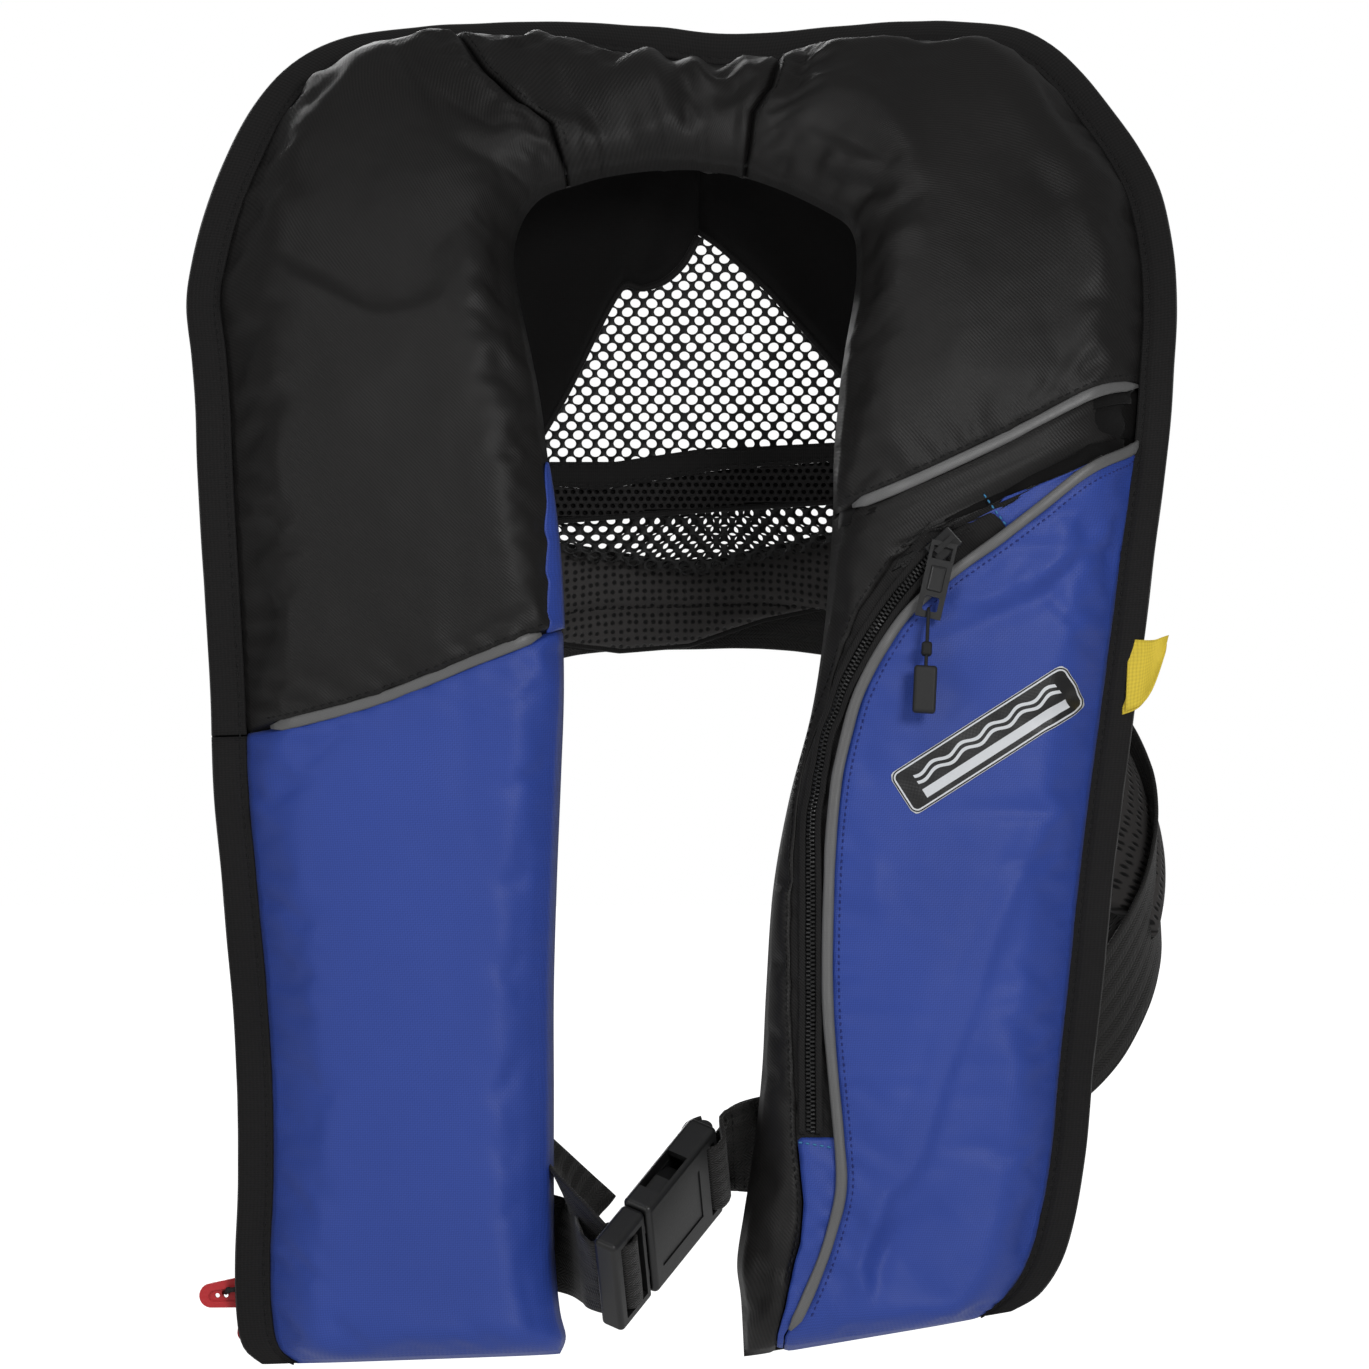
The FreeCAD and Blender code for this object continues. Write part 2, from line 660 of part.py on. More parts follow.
LEVER_TIP = lever_point(LEVER_LEN, 0)


def inflator_lever():
    end, neck = LEVER_LEN + 3, LEVER_LEN - 2
    outline = [(-4.5, -3), (3, -4.2), (neck, -3.0), (end, -1.6),
               (end, 1.6), (neck, 3.0), (3, 4.2), (-4.5, 3)]
    y = CYL_Y - LEVER_T / 2
    points = [lever_point(*p) for p in outline]
    lever = polygon_face([(x, y, z) for x, z in points]).extrude(Vector(0, LEVER_T, 0))
    lever = lever.fuse(y_rod(5.2, LEVER_T, CYL_X, y, LEVER_PIVOT_Z))
    lever = lever.cut(y_rod(1.58, 10, CYL_X, CYL_Y - 5, LEVER_PIVOT_Z))
    return lever.cut(y_rod(1.3, 10, LEVER_TIP[0], CYL_Y - 5, LEVER_TIP[1]))


def cap_nut():
    corners = [math.radians(60 * k) for k in range(6)]
    face = polygon_face([(STEM_X + NUT_R * math.cos(a), BODY_FRONT, STEM_Z + NUT_R * math.sin(a))
                         for a in corners])
    nut = face.extrude(Vector(0, -NUT_T, 0))
    return nut.cut(y_rod(STEM_HOLE_R, 20, STEM_X, CYL_Y - 18, STEM_Z))


# Half profiles, as radius, z
FIRING_PIN = [(0, 66.6), (2.4, 66.6), (2.4, 84.0), (1.1, 86.0), (0, 88.6)]
CYLINDER = [(0, CYL_Z0), (3.6, CYL_Z0), (4.8, 91.5), (4.8, 101.5), (6.0, 103.0), (9.0, 105.0),
            (11.6, 109.0), (CYL_R, 114.0), (CYL_R, 188.0), (11.6, 193.0), (8.5, 196.8),
            (0, CYL_Z1)]

save("inflator_body", inflator_body())
save("lever_pin", y_rod(1.5, 13.6, CYL_X, CYL_Y - 6.8, LEVER_PIVOT_Z))
save("cylinder_gasket",
     rod(4.7, 1.0, (CYL_X, CYL_Y, 89.15)).cut(rod(2.6, 3, (CYL_X, CYL_Y, 88.5))))
save("firing_pin", revolve(FIRING_PIN, CYL_X, CYL_Y))
save("co2_cylinder", revolve(CYLINDER, CYL_X, CYL_Y))
save("inflator_lever", inflator_lever())
# stem with its flange welded to the cell behind
save("cell_manifold", y_rod(STEM_R, 24.0, STEM_X, CYL_Y - 14.0, STEM_Z).fuse(
    y_rod(12.0, 1.6, STEM_X, CYL_Y + 7.3, STEM_Z)))
save("cap_nut", cap_nut())
save("seal_indicator",
     soften(box(CYL_X - 6, CYL_X + 1, CYL_Y - 12.0, BODY_FRONT, 84.0, 93.0), 0.6))

# Pull lanyard and handle; the lanyard leaves between the front and back bindings
LANYARD_R = 1.0
LANYARD_START = (LEVER_TIP[0] + 0.5, 1.85, LEVER_TIP[1])
LANYARD_BEND = (-183.0, 12.2, 29.6)
LANYARD_TAIL = unit((-0.25, 1, -0.25))    # direction from the bend into the handle
TAIL_LEN = 5.0
HANDLE_Y0, HANDLE_Y1 = 15.6, 20.4


def pull_lanyard():
    direction = unit(sub(LANYARD_BEND, LANYARD_START))
    start = add(LANYARD_START, direction, 5.2)
    run = sub(LANYARD_BEND, start)
    cord = rod(LANYARD_R, math.sqrt(dot(run, run)), start, direction)
    return cord.fuse(Part.makeSphere(1.35, Vector(*LANYARD_BEND))).fuse(
        rod(LANYARD_R, TAIL_LEN, LANYARD_BEND, LANYARD_TAIL))


def capsule(x0, z0, r0, x1, z1, r1):
    """Plate as thick as the handle with a round end at each of two centres."""
    turn = math.atan2(z1 - z0, x1 - x0)
    points = []
    for x, z, r, start in ((x0, z0, r0, math.pi / 2), (x1, z1, r1, -math.pi / 2)):
        for k in range(13):
            a = turn + start + math.pi * k / 12
            points.append((x + r * math.cos(a), HANDLE_Y0, z + r * math.sin(a)))
    return polygon_face(points).extrude(Vector(0, HANDLE_Y1 - HANDLE_Y0, 0))


def pull_handle():
    handle = capsule(-174.0, 29.0, 6.6, -190.0, 27.2, 4.9).fuse(
        capsule(-172.5, 27.0, 5.0, -175.6, 12.4, 4.0)).removeSplitter()
    # recess in the front face, then two small holes
    recess = capsule(-179.0, 27.8, 2.9, -189.0, 27.0, 2.2)
    handle = handle.cut(recess.translated(Vector(0, -3.6, 0)))
    for x in (-187.6, -184.2):
        handle = handle.cut(y_rod(0.9, 12, x, 12, 27.2))
    # seat of the lanyard's tail
    tail_end = add(LANYARD_BEND, LANYARD_TAIL, TAIL_LEN)
    handle = handle.cut(Part.makeSphere(1.7, Vector(*tail_end)))
    return handle.cut(rod(1.25, 9, add(LANYARD_BEND, LANYARD_TAIL, -1.0), LANYARD_TAIL))


save("pull_lanyard", pull_lanyard())
save("pull_handle", pull_handle())

# ---------------------------------------------------------------- mouth tube and whistle
ORAL_X, ORAL_Y = -155.0, 4.0
TUBE_Z0, TUBE_Z1 = 211, 270       # level of the lower run, top of the upright run
TUBE_R, TUBE_BORE_R, TUBE_BEND = 5.5, 4.0, 10
SPRING_R, SPRING_WIRE_R = 4.2, 0.42
SPRING_Z, SPRING_H = 271.3, 8.4
SPRING_TURNS, TURN_STEPS, WIRE_SIDES = 4, 20, 10
WHISTLE_X = -136.0
RING_X, RING_Z = WHISTLE_X + 1.0, 260.0
CORD_R, CORD_LOOP_R, CORD_Z = 0.8, 6.6, 260.4

# Half profiles, as radius, z
VALVE_BODY = [(6.4, 270.2), (8, 270.2), (8, 288.5), (7, 289.5), (2.5, 289.5), (2.5, 284.2),
              (6.4, 284.2)]
POPPET = [(0, 280.4), (5.6, 280.4), (5.6, 281.6), (3.6, 283.6), (2.4, 283.9), (2.4, 291.0),
          (0, 291.0)]
DUST_CAP = [(8.15, 280.0), (9.5, 280.0), (9.5, 294.5), (8.5, 295.5), (0, 295.5), (0, 293.8),
            (8.15, 293.8)]


def tube_bar(radius):
    bend_x, bend_z = ORAL_X + TUBE_BEND, TUBE_Z0 + TUBE_BEND
    reach = TUBE_BEND * math.sin(math.pi / 4)
    start = (bend_x, ORAL_Y, TUBE_Z0)
    end = (ORAL_X, ORAL_Y, bend_z)
    return sweep([line((-126.5, ORAL_Y, TUBE_Z0), start),
                  arc_edge(start, (bend_x - reach, ORAL_Y, bend_z - reach), end),
                  line(end, (ORAL_X, ORAL_Y, TUBE_Z1))], radius)


def valve_spring():
    verts, tris = [], []
    steps, sides = SPRING_TURNS * TURN_STEPS, WIRE_SIDES
    for k in range(steps + 1):
        a = 2 * math.pi * k / TURN_STEPS
        for q in range(sides):
            b = 2 * math.pi * q / sides
            r = SPRING_R + SPRING_WIRE_R * math.cos(b)
            verts.append((ORAL_X + r * math.cos(a), ORAL_Y + r * math.sin(a),
                          SPRING_Z + SPRING_H * k / steps + SPRING_WIRE_R * math.sin(b)))
    for k in range(steps):
        here, after = k * sides, (k + 1) * sides
        for q in range(sides):
            q2 = (q + 1) % sides
            tris += [(here + q, after + q2, after + q), (here + q, here + q2, after + q2)]
    last = steps * sides
    for q in range(1, sides - 1):
        tris += [(0, q + 1, q), (last, last + q, last + q + 1)]
    return mesh_solid(verts, tris)


def dust_cap():
    cap = revolve(DUST_CAP, ORAL_X, ORAL_Y)
    for k in range(12):
        a = math.radians(30 * k)
        flute = (ORAL_X + 9.7 * math.cos(a), ORAL_Y + 9.7 * math.sin(a), 279)
        cap = cap.cut(rod(0.7, 20, flute))
    return cap


def whistle():
    x = WHISTLE_X
    body = soften(box(x - 6.0, x + 6.0, -6.5, 9.5, 220.0, 258.0), 1.6)
    # channel open at the bottom, and a slot across the front
    body = body.cut(box(x - 4.6, x + 4.6, -5.0, 1.0, 219.0, 236.0))
    body = body.cut(box(x - 8, x + 8, -8.0, -3.5, 237.0, 240.0))
    ring = y_rod(4.0, 3.0, RING_X, 2.5, RING_Z).cut(y_rod(2.2, 12, RING_X, -2.0, RING_Z))
    return body.fuse(ring)


def whistle_cord():
    """Closed loop round the mouth tube's valve and through the whistle's ring."""
    r, z = CORD_LOOP_R, CORD_Z
    x0, x1 = ORAL_X, RING_X - r
    y0, y1 = ORAL_Y - r, ORAL_Y + r
    return sweep([line((x0, y0, z), (x1, y0, z)),
                  arc_edge((x1, y0, z), (x1 + r, ORAL_Y, z), (x1, y1, z)),
                  line((x1, y1, z), (x0, y1, z)),
                  arc_edge((x0, y1, z), (x0 - r, ORAL_Y, z), (x0, y0, z))], CORD_R)


save("oral_tube", tube_bar(TUBE_R).cut(tube_bar(TUBE_BORE_R)))
save("oral_valve_body", revolve(VALVE_BODY, ORAL_X, ORAL_Y))
save("oral_valve_poppet", revolve(POPPET, ORAL_X, ORAL_Y))
save("oral_valve_spring", valve_spring())
save("oral_dust_cap", dust_cap())
save("whistle", whistle())
save("whistle_cord", whistle_cord())

# ---------------------------------------------------------------- back panel
# Arched edge between collar lining and mesh, as x, z
ARCH = [(-104, 322), (-84, 338), (-56, 375), (-24, 431), (-8, 427), (2, 446), (12, 449),
        (34, 431), (66, 396), (92, 352), (112, 330)]
BACK_XS = [-104, -94, -84, -70, -56, -40, -24, -16, -8, 2, 12, 23, 34, 50, 66, 79, 92, 102, 112]


def back_y(x, z):
    """Depth of the hanging back panel."""
    k = clamp((512.0 - z) / 212.0)
    return 101.8 + 56.0 * k ** 0.75 + (1 - k) * chest_wrap(x) - k * 8.0 * (x / 120.0) ** 2


def arch(x):
    return next(z0 + (z1 - z0) * (x - x0) / (x1 - x0)
                for (x0, z0), (x1, z1) in zip(ARCH, ARCH[1:]) if x0 <= x <= x1)


def back_sheet(low, high, n, y_offset, thick):
    """Hanging sheet between two edges giving z from x; it spreads towards the top."""
    top, bottom = [], []
    for x in BACK_XS:
        points = []
        for j in range(n + 1):
            z = low(x) + (high(x) - low(x)) * j / n
            spread_x = x * (1.0 + 0.22 * max(0.0, (z - 380) / 110.0))
            points.append((spread_x, back_y(x, z) + y_offset, z))
        top.append(points)
        bottom.append([add(p, (0, thick, 0)) for p in points])
    return sheet(top, bottom)


def back_band():
    rows = []
    for x in range(-102, 111, 14):
        z = 355.0 + 0.045 * x
        rows.append((x, back_y(x, z) - 2.4, z, 0, -0.21, 1))
    return ribbon(rows, 25.0, 2.4)


save("collar_lining", back_sheet(arch, lambda x: 512.0 - 0.0006 * x * x, 7, 0.0, 2.0))
save("back_mesh", back_sheet(lambda x: 316.0 + 0.0006 * x * x, shifted(arch, 9.0), 6, 2.4, 1.0))
save("back_band", back_band())

# ---------------------------------------------------------------- belt buckle
BUCKLE_U = unit((0.533, 0.564, 0.631))                # along the buckle, to the female half
BUCKLE_W = square_to((0.063, 0.717, -0.693), BUCKLE_U)    # across the webbing
BUCKLE_N = unit(cross(BUCKLE_W, BUCKLE_U))
BUCKLE_CENTRE = (-9.8, -10.0, 58.0)
BUCKLE_START = add(BUCKLE_CENTRE, BUCKLE_U, -39.0)    # outer end of the male half
BUCKLE_FRAME = frame(BUCKLE_U, neg(BUCKLE_W), BUCKLE_N, BUCKLE_START)
BUCKLE_HALF_W = 25.5
FEMALE_X0, FEMALE_X1 = 23.6, 78.0
# Outline of a prong, as local x, y
PRONG = [(23.3, 10.5), (23.3, 15.5), (31.0, 18.0), (35.0, 19.0), (35.4, 22.2), (44.0, 22.3),
         (52.5, 18.6), (55.5, 14.5), (54.0, 11.5), (42.0, 11.8), (30.0, 10.5)]
PRONG_T = 7.8


def buckle_female():
    """Hollow body with side windows and a webbing slot; local x along, y across, z through."""
    half = BUCKLE_HALF_W
    body = soften(box(FEMALE_X0, FEMALE_X1 - 3.0, -half, half, -6.4, 6.4), 2.4)
    body = body.fuse(y_rod(4.2, 46.0, FEMALE_X1 - 4.6, -23.0, 0))
    body = body.cut(box(FEMALE_X0 - 1, 62.0, -22.6, 22.6, -4.2, 4.2))
    body = body.cut(box(66.2, 71.4, -20.0, 20.0, -9, 9))
    for y0, y1 in ((19.5, 30), (-30, -19.5)):
        body = body.cut(box(34.0, 55.0, y0, y1, -4.6, 4.6))
    # shallow recess in each face
    return body.cut(box(30, 60, -14, 14, 5.9, 8).fuse(box(30, 60, -14, 14, -8, -5.9)))


def buckle_male():
    """Two webbing slots with a thinned ladder bar between them, and a middle tongue."""
    half = BUCKLE_HALF_W
    body = soften(box(0, 23.0, -half, half, -5.2, 5.2), 2.2)
    for x0, x1, z0, z1 in ((4.4, 10.2, -9, 9), (14.0, 19.6, -9, 9),
                           (10.1, 14.1, 3.0, 9), (10.1, 14.1, -9, -3.0)):
        body = body.cut(box(x0, x1, -20.6, 20.6, z0, z1))
    return body.fuse(box(22.5, 54.0, -4.0, 4.0, -2.6, 2.6))


def prong(side):
    face = polygon_face([(x, side * y, -PRONG_T / 2) for x, y in PRONG])
    solid = face.extrude(Vector(0, 0, PRONG_T))
    if solid.Volume < 0:
        solid.reverse()
    return soften(solid, 0.7)


save("buckle_female", placed(buckle_female(), BUCKLE_FRAME))
save("buckle_male", placed(buckle_male(), BUCKLE_FRAME))
save("buckle_prong_upper", placed(prong(1), BUCKLE_FRAME))
save("buckle_prong_lower", placed(prong(-1), BUCKLE_FRAME))


# ---------------------------------------------------------------- belt webbing
def buckle_row(along, out):
    """Webbing row, point and width direction, from a place in the buckle's middle section."""
    return add(add(BUCKLE_START, BUCKLE_U, along), BUCKLE_N, out) + BUCKLE_W


# Webbing round the ladder bar, as distance along the buckle and out of it
MALE_LOOP = [(-9, -7.4), (-2, -7.8), (3.4, -7.4), (6.6, -4.2), (7.3, 0.0), (8.0, 3.6),
             (10.2, 5.6), (13.4, 5.7), (15.8, 4.4), (16.9, 1.0), (17.2, -3.4), (15.2, -7.8),
             (9.0, -10.4), (0.0, -11.4), (-6.0, -12.0)]
# Free tail, as point and width direction
TAIL = [buckle_row(-4.0, -14.8), (-36.5, -12.0, 47.0, 0.15, 0.6, -0.78),
        (-34.5, -1.0, 59.0, 0.24, 0.4, -0.88), (-33.5, 6.0, 69.0, 0.3, 0.16, -0.94),
        (-32.8, 8.5, 77.0, 0.34, 0.0, -0.94)]
# The long belt: through the female slot, then behind the left lobe, round the back and behind
# the right lobe to the male half
FEMALE_LOOP = [(80.6, 2.6), (78.6, 6.4), (75.6, 8.2), (71.3, 8.0), (69.0, 6.2), (68.7, 1.6),
               (68.7, -2.6), (69.0, -6.6), (71.6, -8.5), (76.5, -8.7), (81.2, -5.8)]
BELT_ROUND = [
    (15.4, 17.4, 84.4, 0.04, 0.58, -0.81), (31.0, 18.4, 88.0, 0, 0.12, -1),
    (60.0, 17.4, 93.0, 0, 0, -1), (100.0, 19.6, 100.0, 0.05, 0, -1),
    (140.0, 24.0, 114.0, 0.12, 0, -1), (170.0, 38.0, 140.0, 0.2, 0.15, -1),
    (190.0, 68.0, 180.0, 0.1, 0.3, -1), (188.0, 106.0, 222.0, -0.05, 0.3, -1),
    (160.0, 139.0, 262.0, -0.1, 0.2, -1), (110.0, 159.0, 291.0, -0.05, 0.1, -1),
    (50.0, 169.0, 305.0, 0, 0.05, -1), (0.0, 171.0, 306.0, 0, 0.05, -1),
    (-50.0, 169.0, 303.0, 0, 0.05, -1), (-105.0, 158.0, 286.0, 0.05, 0.1, -1),
    (-145.0, 130.0, 250.0, 0.1, 0.2, -1), (-163.0, 94.0, 205.0, 0, 0.3, -1),
    (-160.0, 58.0, 158.0, -0.1, 0.3, -1), (-140.0, 33.0, 112.0, -0.12, 0.15, -1),
    (-110.0, 21.0, 78.0, -0.05, 0, -1), (-75.0, 17.0, 56.0, 0, 0, -1),
    (-52.0, 16.6, 48.0, 0, 0.02, -1), (-39.0, 15.0, 45.0, 0, 0.02, -1)]
BELT = spline([buckle_row(*p) for p in FEMALE_LOOP] + BELT_ROUND, 4)


def lumbar_pad():
    """Domed pad on the wearer's side of the webbing, along the back stretch."""
    rows = [row for row in BELT if row[1] > 62.0]
    last = len(rows) - 1
    top, bottom = [], []
    for i, row in enumerate(rows):
        across = unit(row[3:])
        tangent = unit(sub(rows[min(last, i + 1)], rows[max(0, i - 1)]))
        normal = unit(cross(tangent, across))
        half = 20.0 + 3.0 * min(1.0, math.sin(math.pi * i / last) * 1.9) ** 0.7
        top_row, bottom_row = [], []
        for j in range(7):
            q = -1 + 2 * j / 6
            thick = 1.2 + 4.8 * (1 - q * q) ** 0.5
            base = add(add(row, across, half * q), normal, WEB_T / 2 + 0.7)
            top_row.append(base)
            bottom_row.append(add(base, normal, thick))
        top.append(top_row)
        bottom.append(bottom_row)
    return sheet(top, bottom)


def belt_guide(x0, x1):
    """Strip between a lobe and the webbing behind it."""
    rows = [r for r in BELT if x0 <= r[0] <= x1 and r[1] < 30 and r[2] < 120]
    return ribbon(rows, WEB_W + 8, 1.4, -1.9)


save("male_webbing", ribbon(spline([buckle_row(*p) for p in MALE_LOOP], 3), WEB_W, WEB_T))
save("belt_tail", ribbon(spline(TAIL, 3), WEB_W, WEB_T))
save("belt_webbing", ribbon(BELT, WEB_W, WEB_T))
save("lumbar_pad", lumbar_pad())
save("left_belt_guide", belt_guide(60, 110))
save("right_belt_guide", belt_guide(-112, -68))

# ---------------------------------------------------------------- zip
# The slider swings about a far centre, so the curved run of the coil lies in one plane
ZIP_X, ZIP_Z, ZIP_R = 216.6, 206.4, 166.4    # centre and radius of the curved run
ZIP_TOP = 48.5                               # degrees of the curved run
ZIP_REST = math.radians(47.0)                # where the slider rests


def zip_track(angle):
    return (ZIP_X - ZIP_R * math.cos(angle), ZIP_Z + ZIP_R * math.sin(angle))


def zip_surface(x, z):
    u, d = locate(x, z, *LEFT_LOBE_RANGE)
    return casing(u, d, front(u, d))


PLANE_A, PLANE_B, PLANE_C = [zip_surface(*zip_track(math.radians(a))) for a in (50, 25, 0)]
ZIP_N = unit(cross(sub(PLANE_B, PLANE_A), sub(PLANE_C, PLANE_A)))
if ZIP_N[1] > 0:
    ZIP_N = neg(ZIP_N)


def plane_y(x, z):
    return PLANE_A[1] - (ZIP_N[0] * (x - PLANE_A[0]) + ZIP_N[2] * (z - PLANE_A[2])) / ZIP_N[1]


def cover_excess(degrees):
    """How far the cover stands in front of the zip's plane."""
    x, z = zip_track(math.radians(degrees))
    return plane_y(x, z) - zip_surface(x, z)[1]


ZIP_OFFSET = max(0.0, max(cover_excess(a) for a in range(0, 51, 2))) + 0.5


def zip_plane_point(angle):
    x, z = zip_track(angle)
    return (x, plane_y(x, z) - ZIP_OFFSET, z)


def zip_coil():
    points = [zip_plane_point(math.radians(ZIP_TOP - ZIP_TOP * i / 26)) for i in range(27)]
    # straight run downwards, following the cover
    x = ZIP_X - ZIP_R
    for i in range(1, 19):
        z = ZIP_Z - 6.0 * i
        points.append((x, zip_surface(x, z)[1] - ZIP_OFFSET, z))
    rows = []
    for i, p in enumerate(points):
        tangent = unit(sub(points[min(len(points) - 1, i + 1)], points[max(0, i - 1)]))
        rows.append(p + cross(tangent, ZIP_N))
    return ribbon(rows, 4.2, 1.0)


# Slider frame: x along the track towards its top, y across, z out of the cover
TRACK = square_to((math.sin(ZIP_REST), 0.0, math.cos(ZIP_REST)), ZIP_N)
SLIDER_FRAME = frame(TRACK, unit(cross(ZIP_N, TRACK)), ZIP_N, zip_plane_point(ZIP_REST))
# The puller hangs from inside the slider's bail, close to the cover
PULLER_LEAN = math.radians(13)
PULLER_DOWN = unit((-math.sin(PULLER_LEAN), -0.10, -math.cos(PULLER_LEAN)))
PULLER_FRAME = hanging_frame(PULLER_DOWN, tuple(SLIDER_FRAME.multVec(Vector(0.3, 0, 4.5))))
# The cord hangs from the puller's lower hole
CORD_FRAME = hanging_frame(unit((-0.05, -0.14, -1)),
                           tuple(PULLER_FRAME.multVec(Vector(0, 28.9, 0))))
LEG_Z = 1.2               # the two cord legs lie this far before and behind the middle
EYE_R = 2.4               # radius of the cord's turn through the puller
ZIP_CORD_R, LEG_HOLE_R = 0.7, 0.72


def zip_slider():
    slider = soften(box(-6.5, 6.5, -4.6, 4.6, 1.0, 3.2), 0.8)
    # bail: two posts and a bridge
    for x0, x1, z0, z1 in ((-4.4, -3.2, 3.0, 6.4), (3.8, 5.0, 3.0, 6.4), (-4.4, 5.0, 5.8, 7.0)):
        slider = slider.fuse(box(x0, x1, -1.0, 1.0, z0, z1))
    return slider


def zip_puller():
    puller = box(-5.2, 5.2, -0.9, 30.2, -0.6, 0.6).fuse(box(-5.2, 5.2, 7.0, 30.2, -0.9, 0.9))
    # upper opening, lower opening, recess in the front face
    puller = puller.cut(box(-3.8, 3.8, 1.1, 6.4, -9, 9))
    puller = puller.cut(soften(box(-3.0, 3.0, 21.6, 27.6, -9, 9), 1.0))
    return puller.cut(soften(box(-3.4, 3.4, 8.8, 19.8, 0.45, 5), 1.2))


def zip_cord():
    """One loop through the puller, both legs running down into the grip."""
    return sweep([line((0, 21.0, LEG_Z), (0, 10.0, LEG_Z)),
                  line((0, 10.0, LEG_Z), (0, 0.0, EYE_R)),
                  arc_edge((0, 0.0, EYE_R), (0, -EYE_R, 0.0), (0, 0.0, -EYE_R)),
                  line((0, 0.0, -EYE_R), (0, 10.0, -LEG_Z)),
                  line((0, 10.0, -LEG_Z), (0, 21.0, -LEG_Z))], ZIP_CORD_R, frenet=True)


def leg_holes(solid, y, length):
    for z in (LEG_Z, -LEG_Z):
        solid = solid.cut(y_rod(LEG_HOLE_R, length, 0, y, z))
    return solid


save("zip_coil", zip_coil())
save("zip_slider", placed(zip_slider(), SLIDER_FRAME))
save("zip_puller", placed(zip_puller(), PULLER_FRAME))
save("zip_cord", placed(zip_cord(), CORD_FRAME))
grip = leg_holes(soften(box(-4.6, 4.6, 20.5, 39.5, -2.4, 2.4), 1.4), 19.0, 5.0)
save("zip_cord_grip", placed(grip, CORD_FRAME))
knot = leg_holes(soften(box(-2.1, 2.1, 11.0, 16.5, -3.0, 3.0), 1.2), 8.0, 12.0)
save("zip_cord_knot", placed(knot, CORD_FRAME))
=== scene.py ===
"""Inflatable lifejacket: a horseshoe casing worn round the neck, a waist belt with a buckle, a
mesh back panel and the parts inside the casing.

Lengths are design millimetres: x runs to the wearer's left, y to the wearer's back, z up.
ORIGIN is where the record's origin lies in them. Meshes are built in metres about it.
"""
import bpy
import math
import mathutils
import numpy as np
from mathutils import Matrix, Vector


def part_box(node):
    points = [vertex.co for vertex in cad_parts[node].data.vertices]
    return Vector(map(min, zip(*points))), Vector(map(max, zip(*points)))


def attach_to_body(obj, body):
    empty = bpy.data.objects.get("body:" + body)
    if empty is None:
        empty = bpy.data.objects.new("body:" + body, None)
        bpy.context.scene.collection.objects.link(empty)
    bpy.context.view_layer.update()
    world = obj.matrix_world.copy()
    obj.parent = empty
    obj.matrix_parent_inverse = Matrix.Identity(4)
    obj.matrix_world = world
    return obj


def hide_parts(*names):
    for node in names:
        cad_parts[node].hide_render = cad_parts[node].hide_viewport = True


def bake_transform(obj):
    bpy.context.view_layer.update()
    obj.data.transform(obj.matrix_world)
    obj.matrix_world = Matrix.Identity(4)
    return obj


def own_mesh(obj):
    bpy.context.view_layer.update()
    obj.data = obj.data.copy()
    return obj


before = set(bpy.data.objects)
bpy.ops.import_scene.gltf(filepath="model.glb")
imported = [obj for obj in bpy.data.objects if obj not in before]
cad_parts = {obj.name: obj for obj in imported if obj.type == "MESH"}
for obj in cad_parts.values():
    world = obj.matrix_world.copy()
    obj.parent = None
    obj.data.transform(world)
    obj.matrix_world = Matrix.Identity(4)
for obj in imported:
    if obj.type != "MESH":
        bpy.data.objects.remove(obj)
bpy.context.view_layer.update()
MM = 0.001
ORIGIN = np.array([0.0, 52.6, 479.5])

# The camera's eye; outlines on the back panel are given as seen from here.
EYE_Y, EYE_Z = -4000.0, 272.6

# ---------------------------------------------------------------- casing dimensions
BIND = 14.0                          # width of the bound flange
PUFF_FRONT, PUFF_BACK = 20.0, 8.0    # swell of the covers beyond the flange
RISE, ROUND = 22.0, 22.0             # run of the swell's rise, and of its fall at the inner edge
FLANGE_LIFT = 2.6                    # cover height at the flange
BEND_Z, TOP_Z, BEND_MAX = 330.0, 545.0, math.radians(55)   # backward bend over the shoulders
CHEST = 14.0                         # how far the casing wraps back 200 mm from the middle

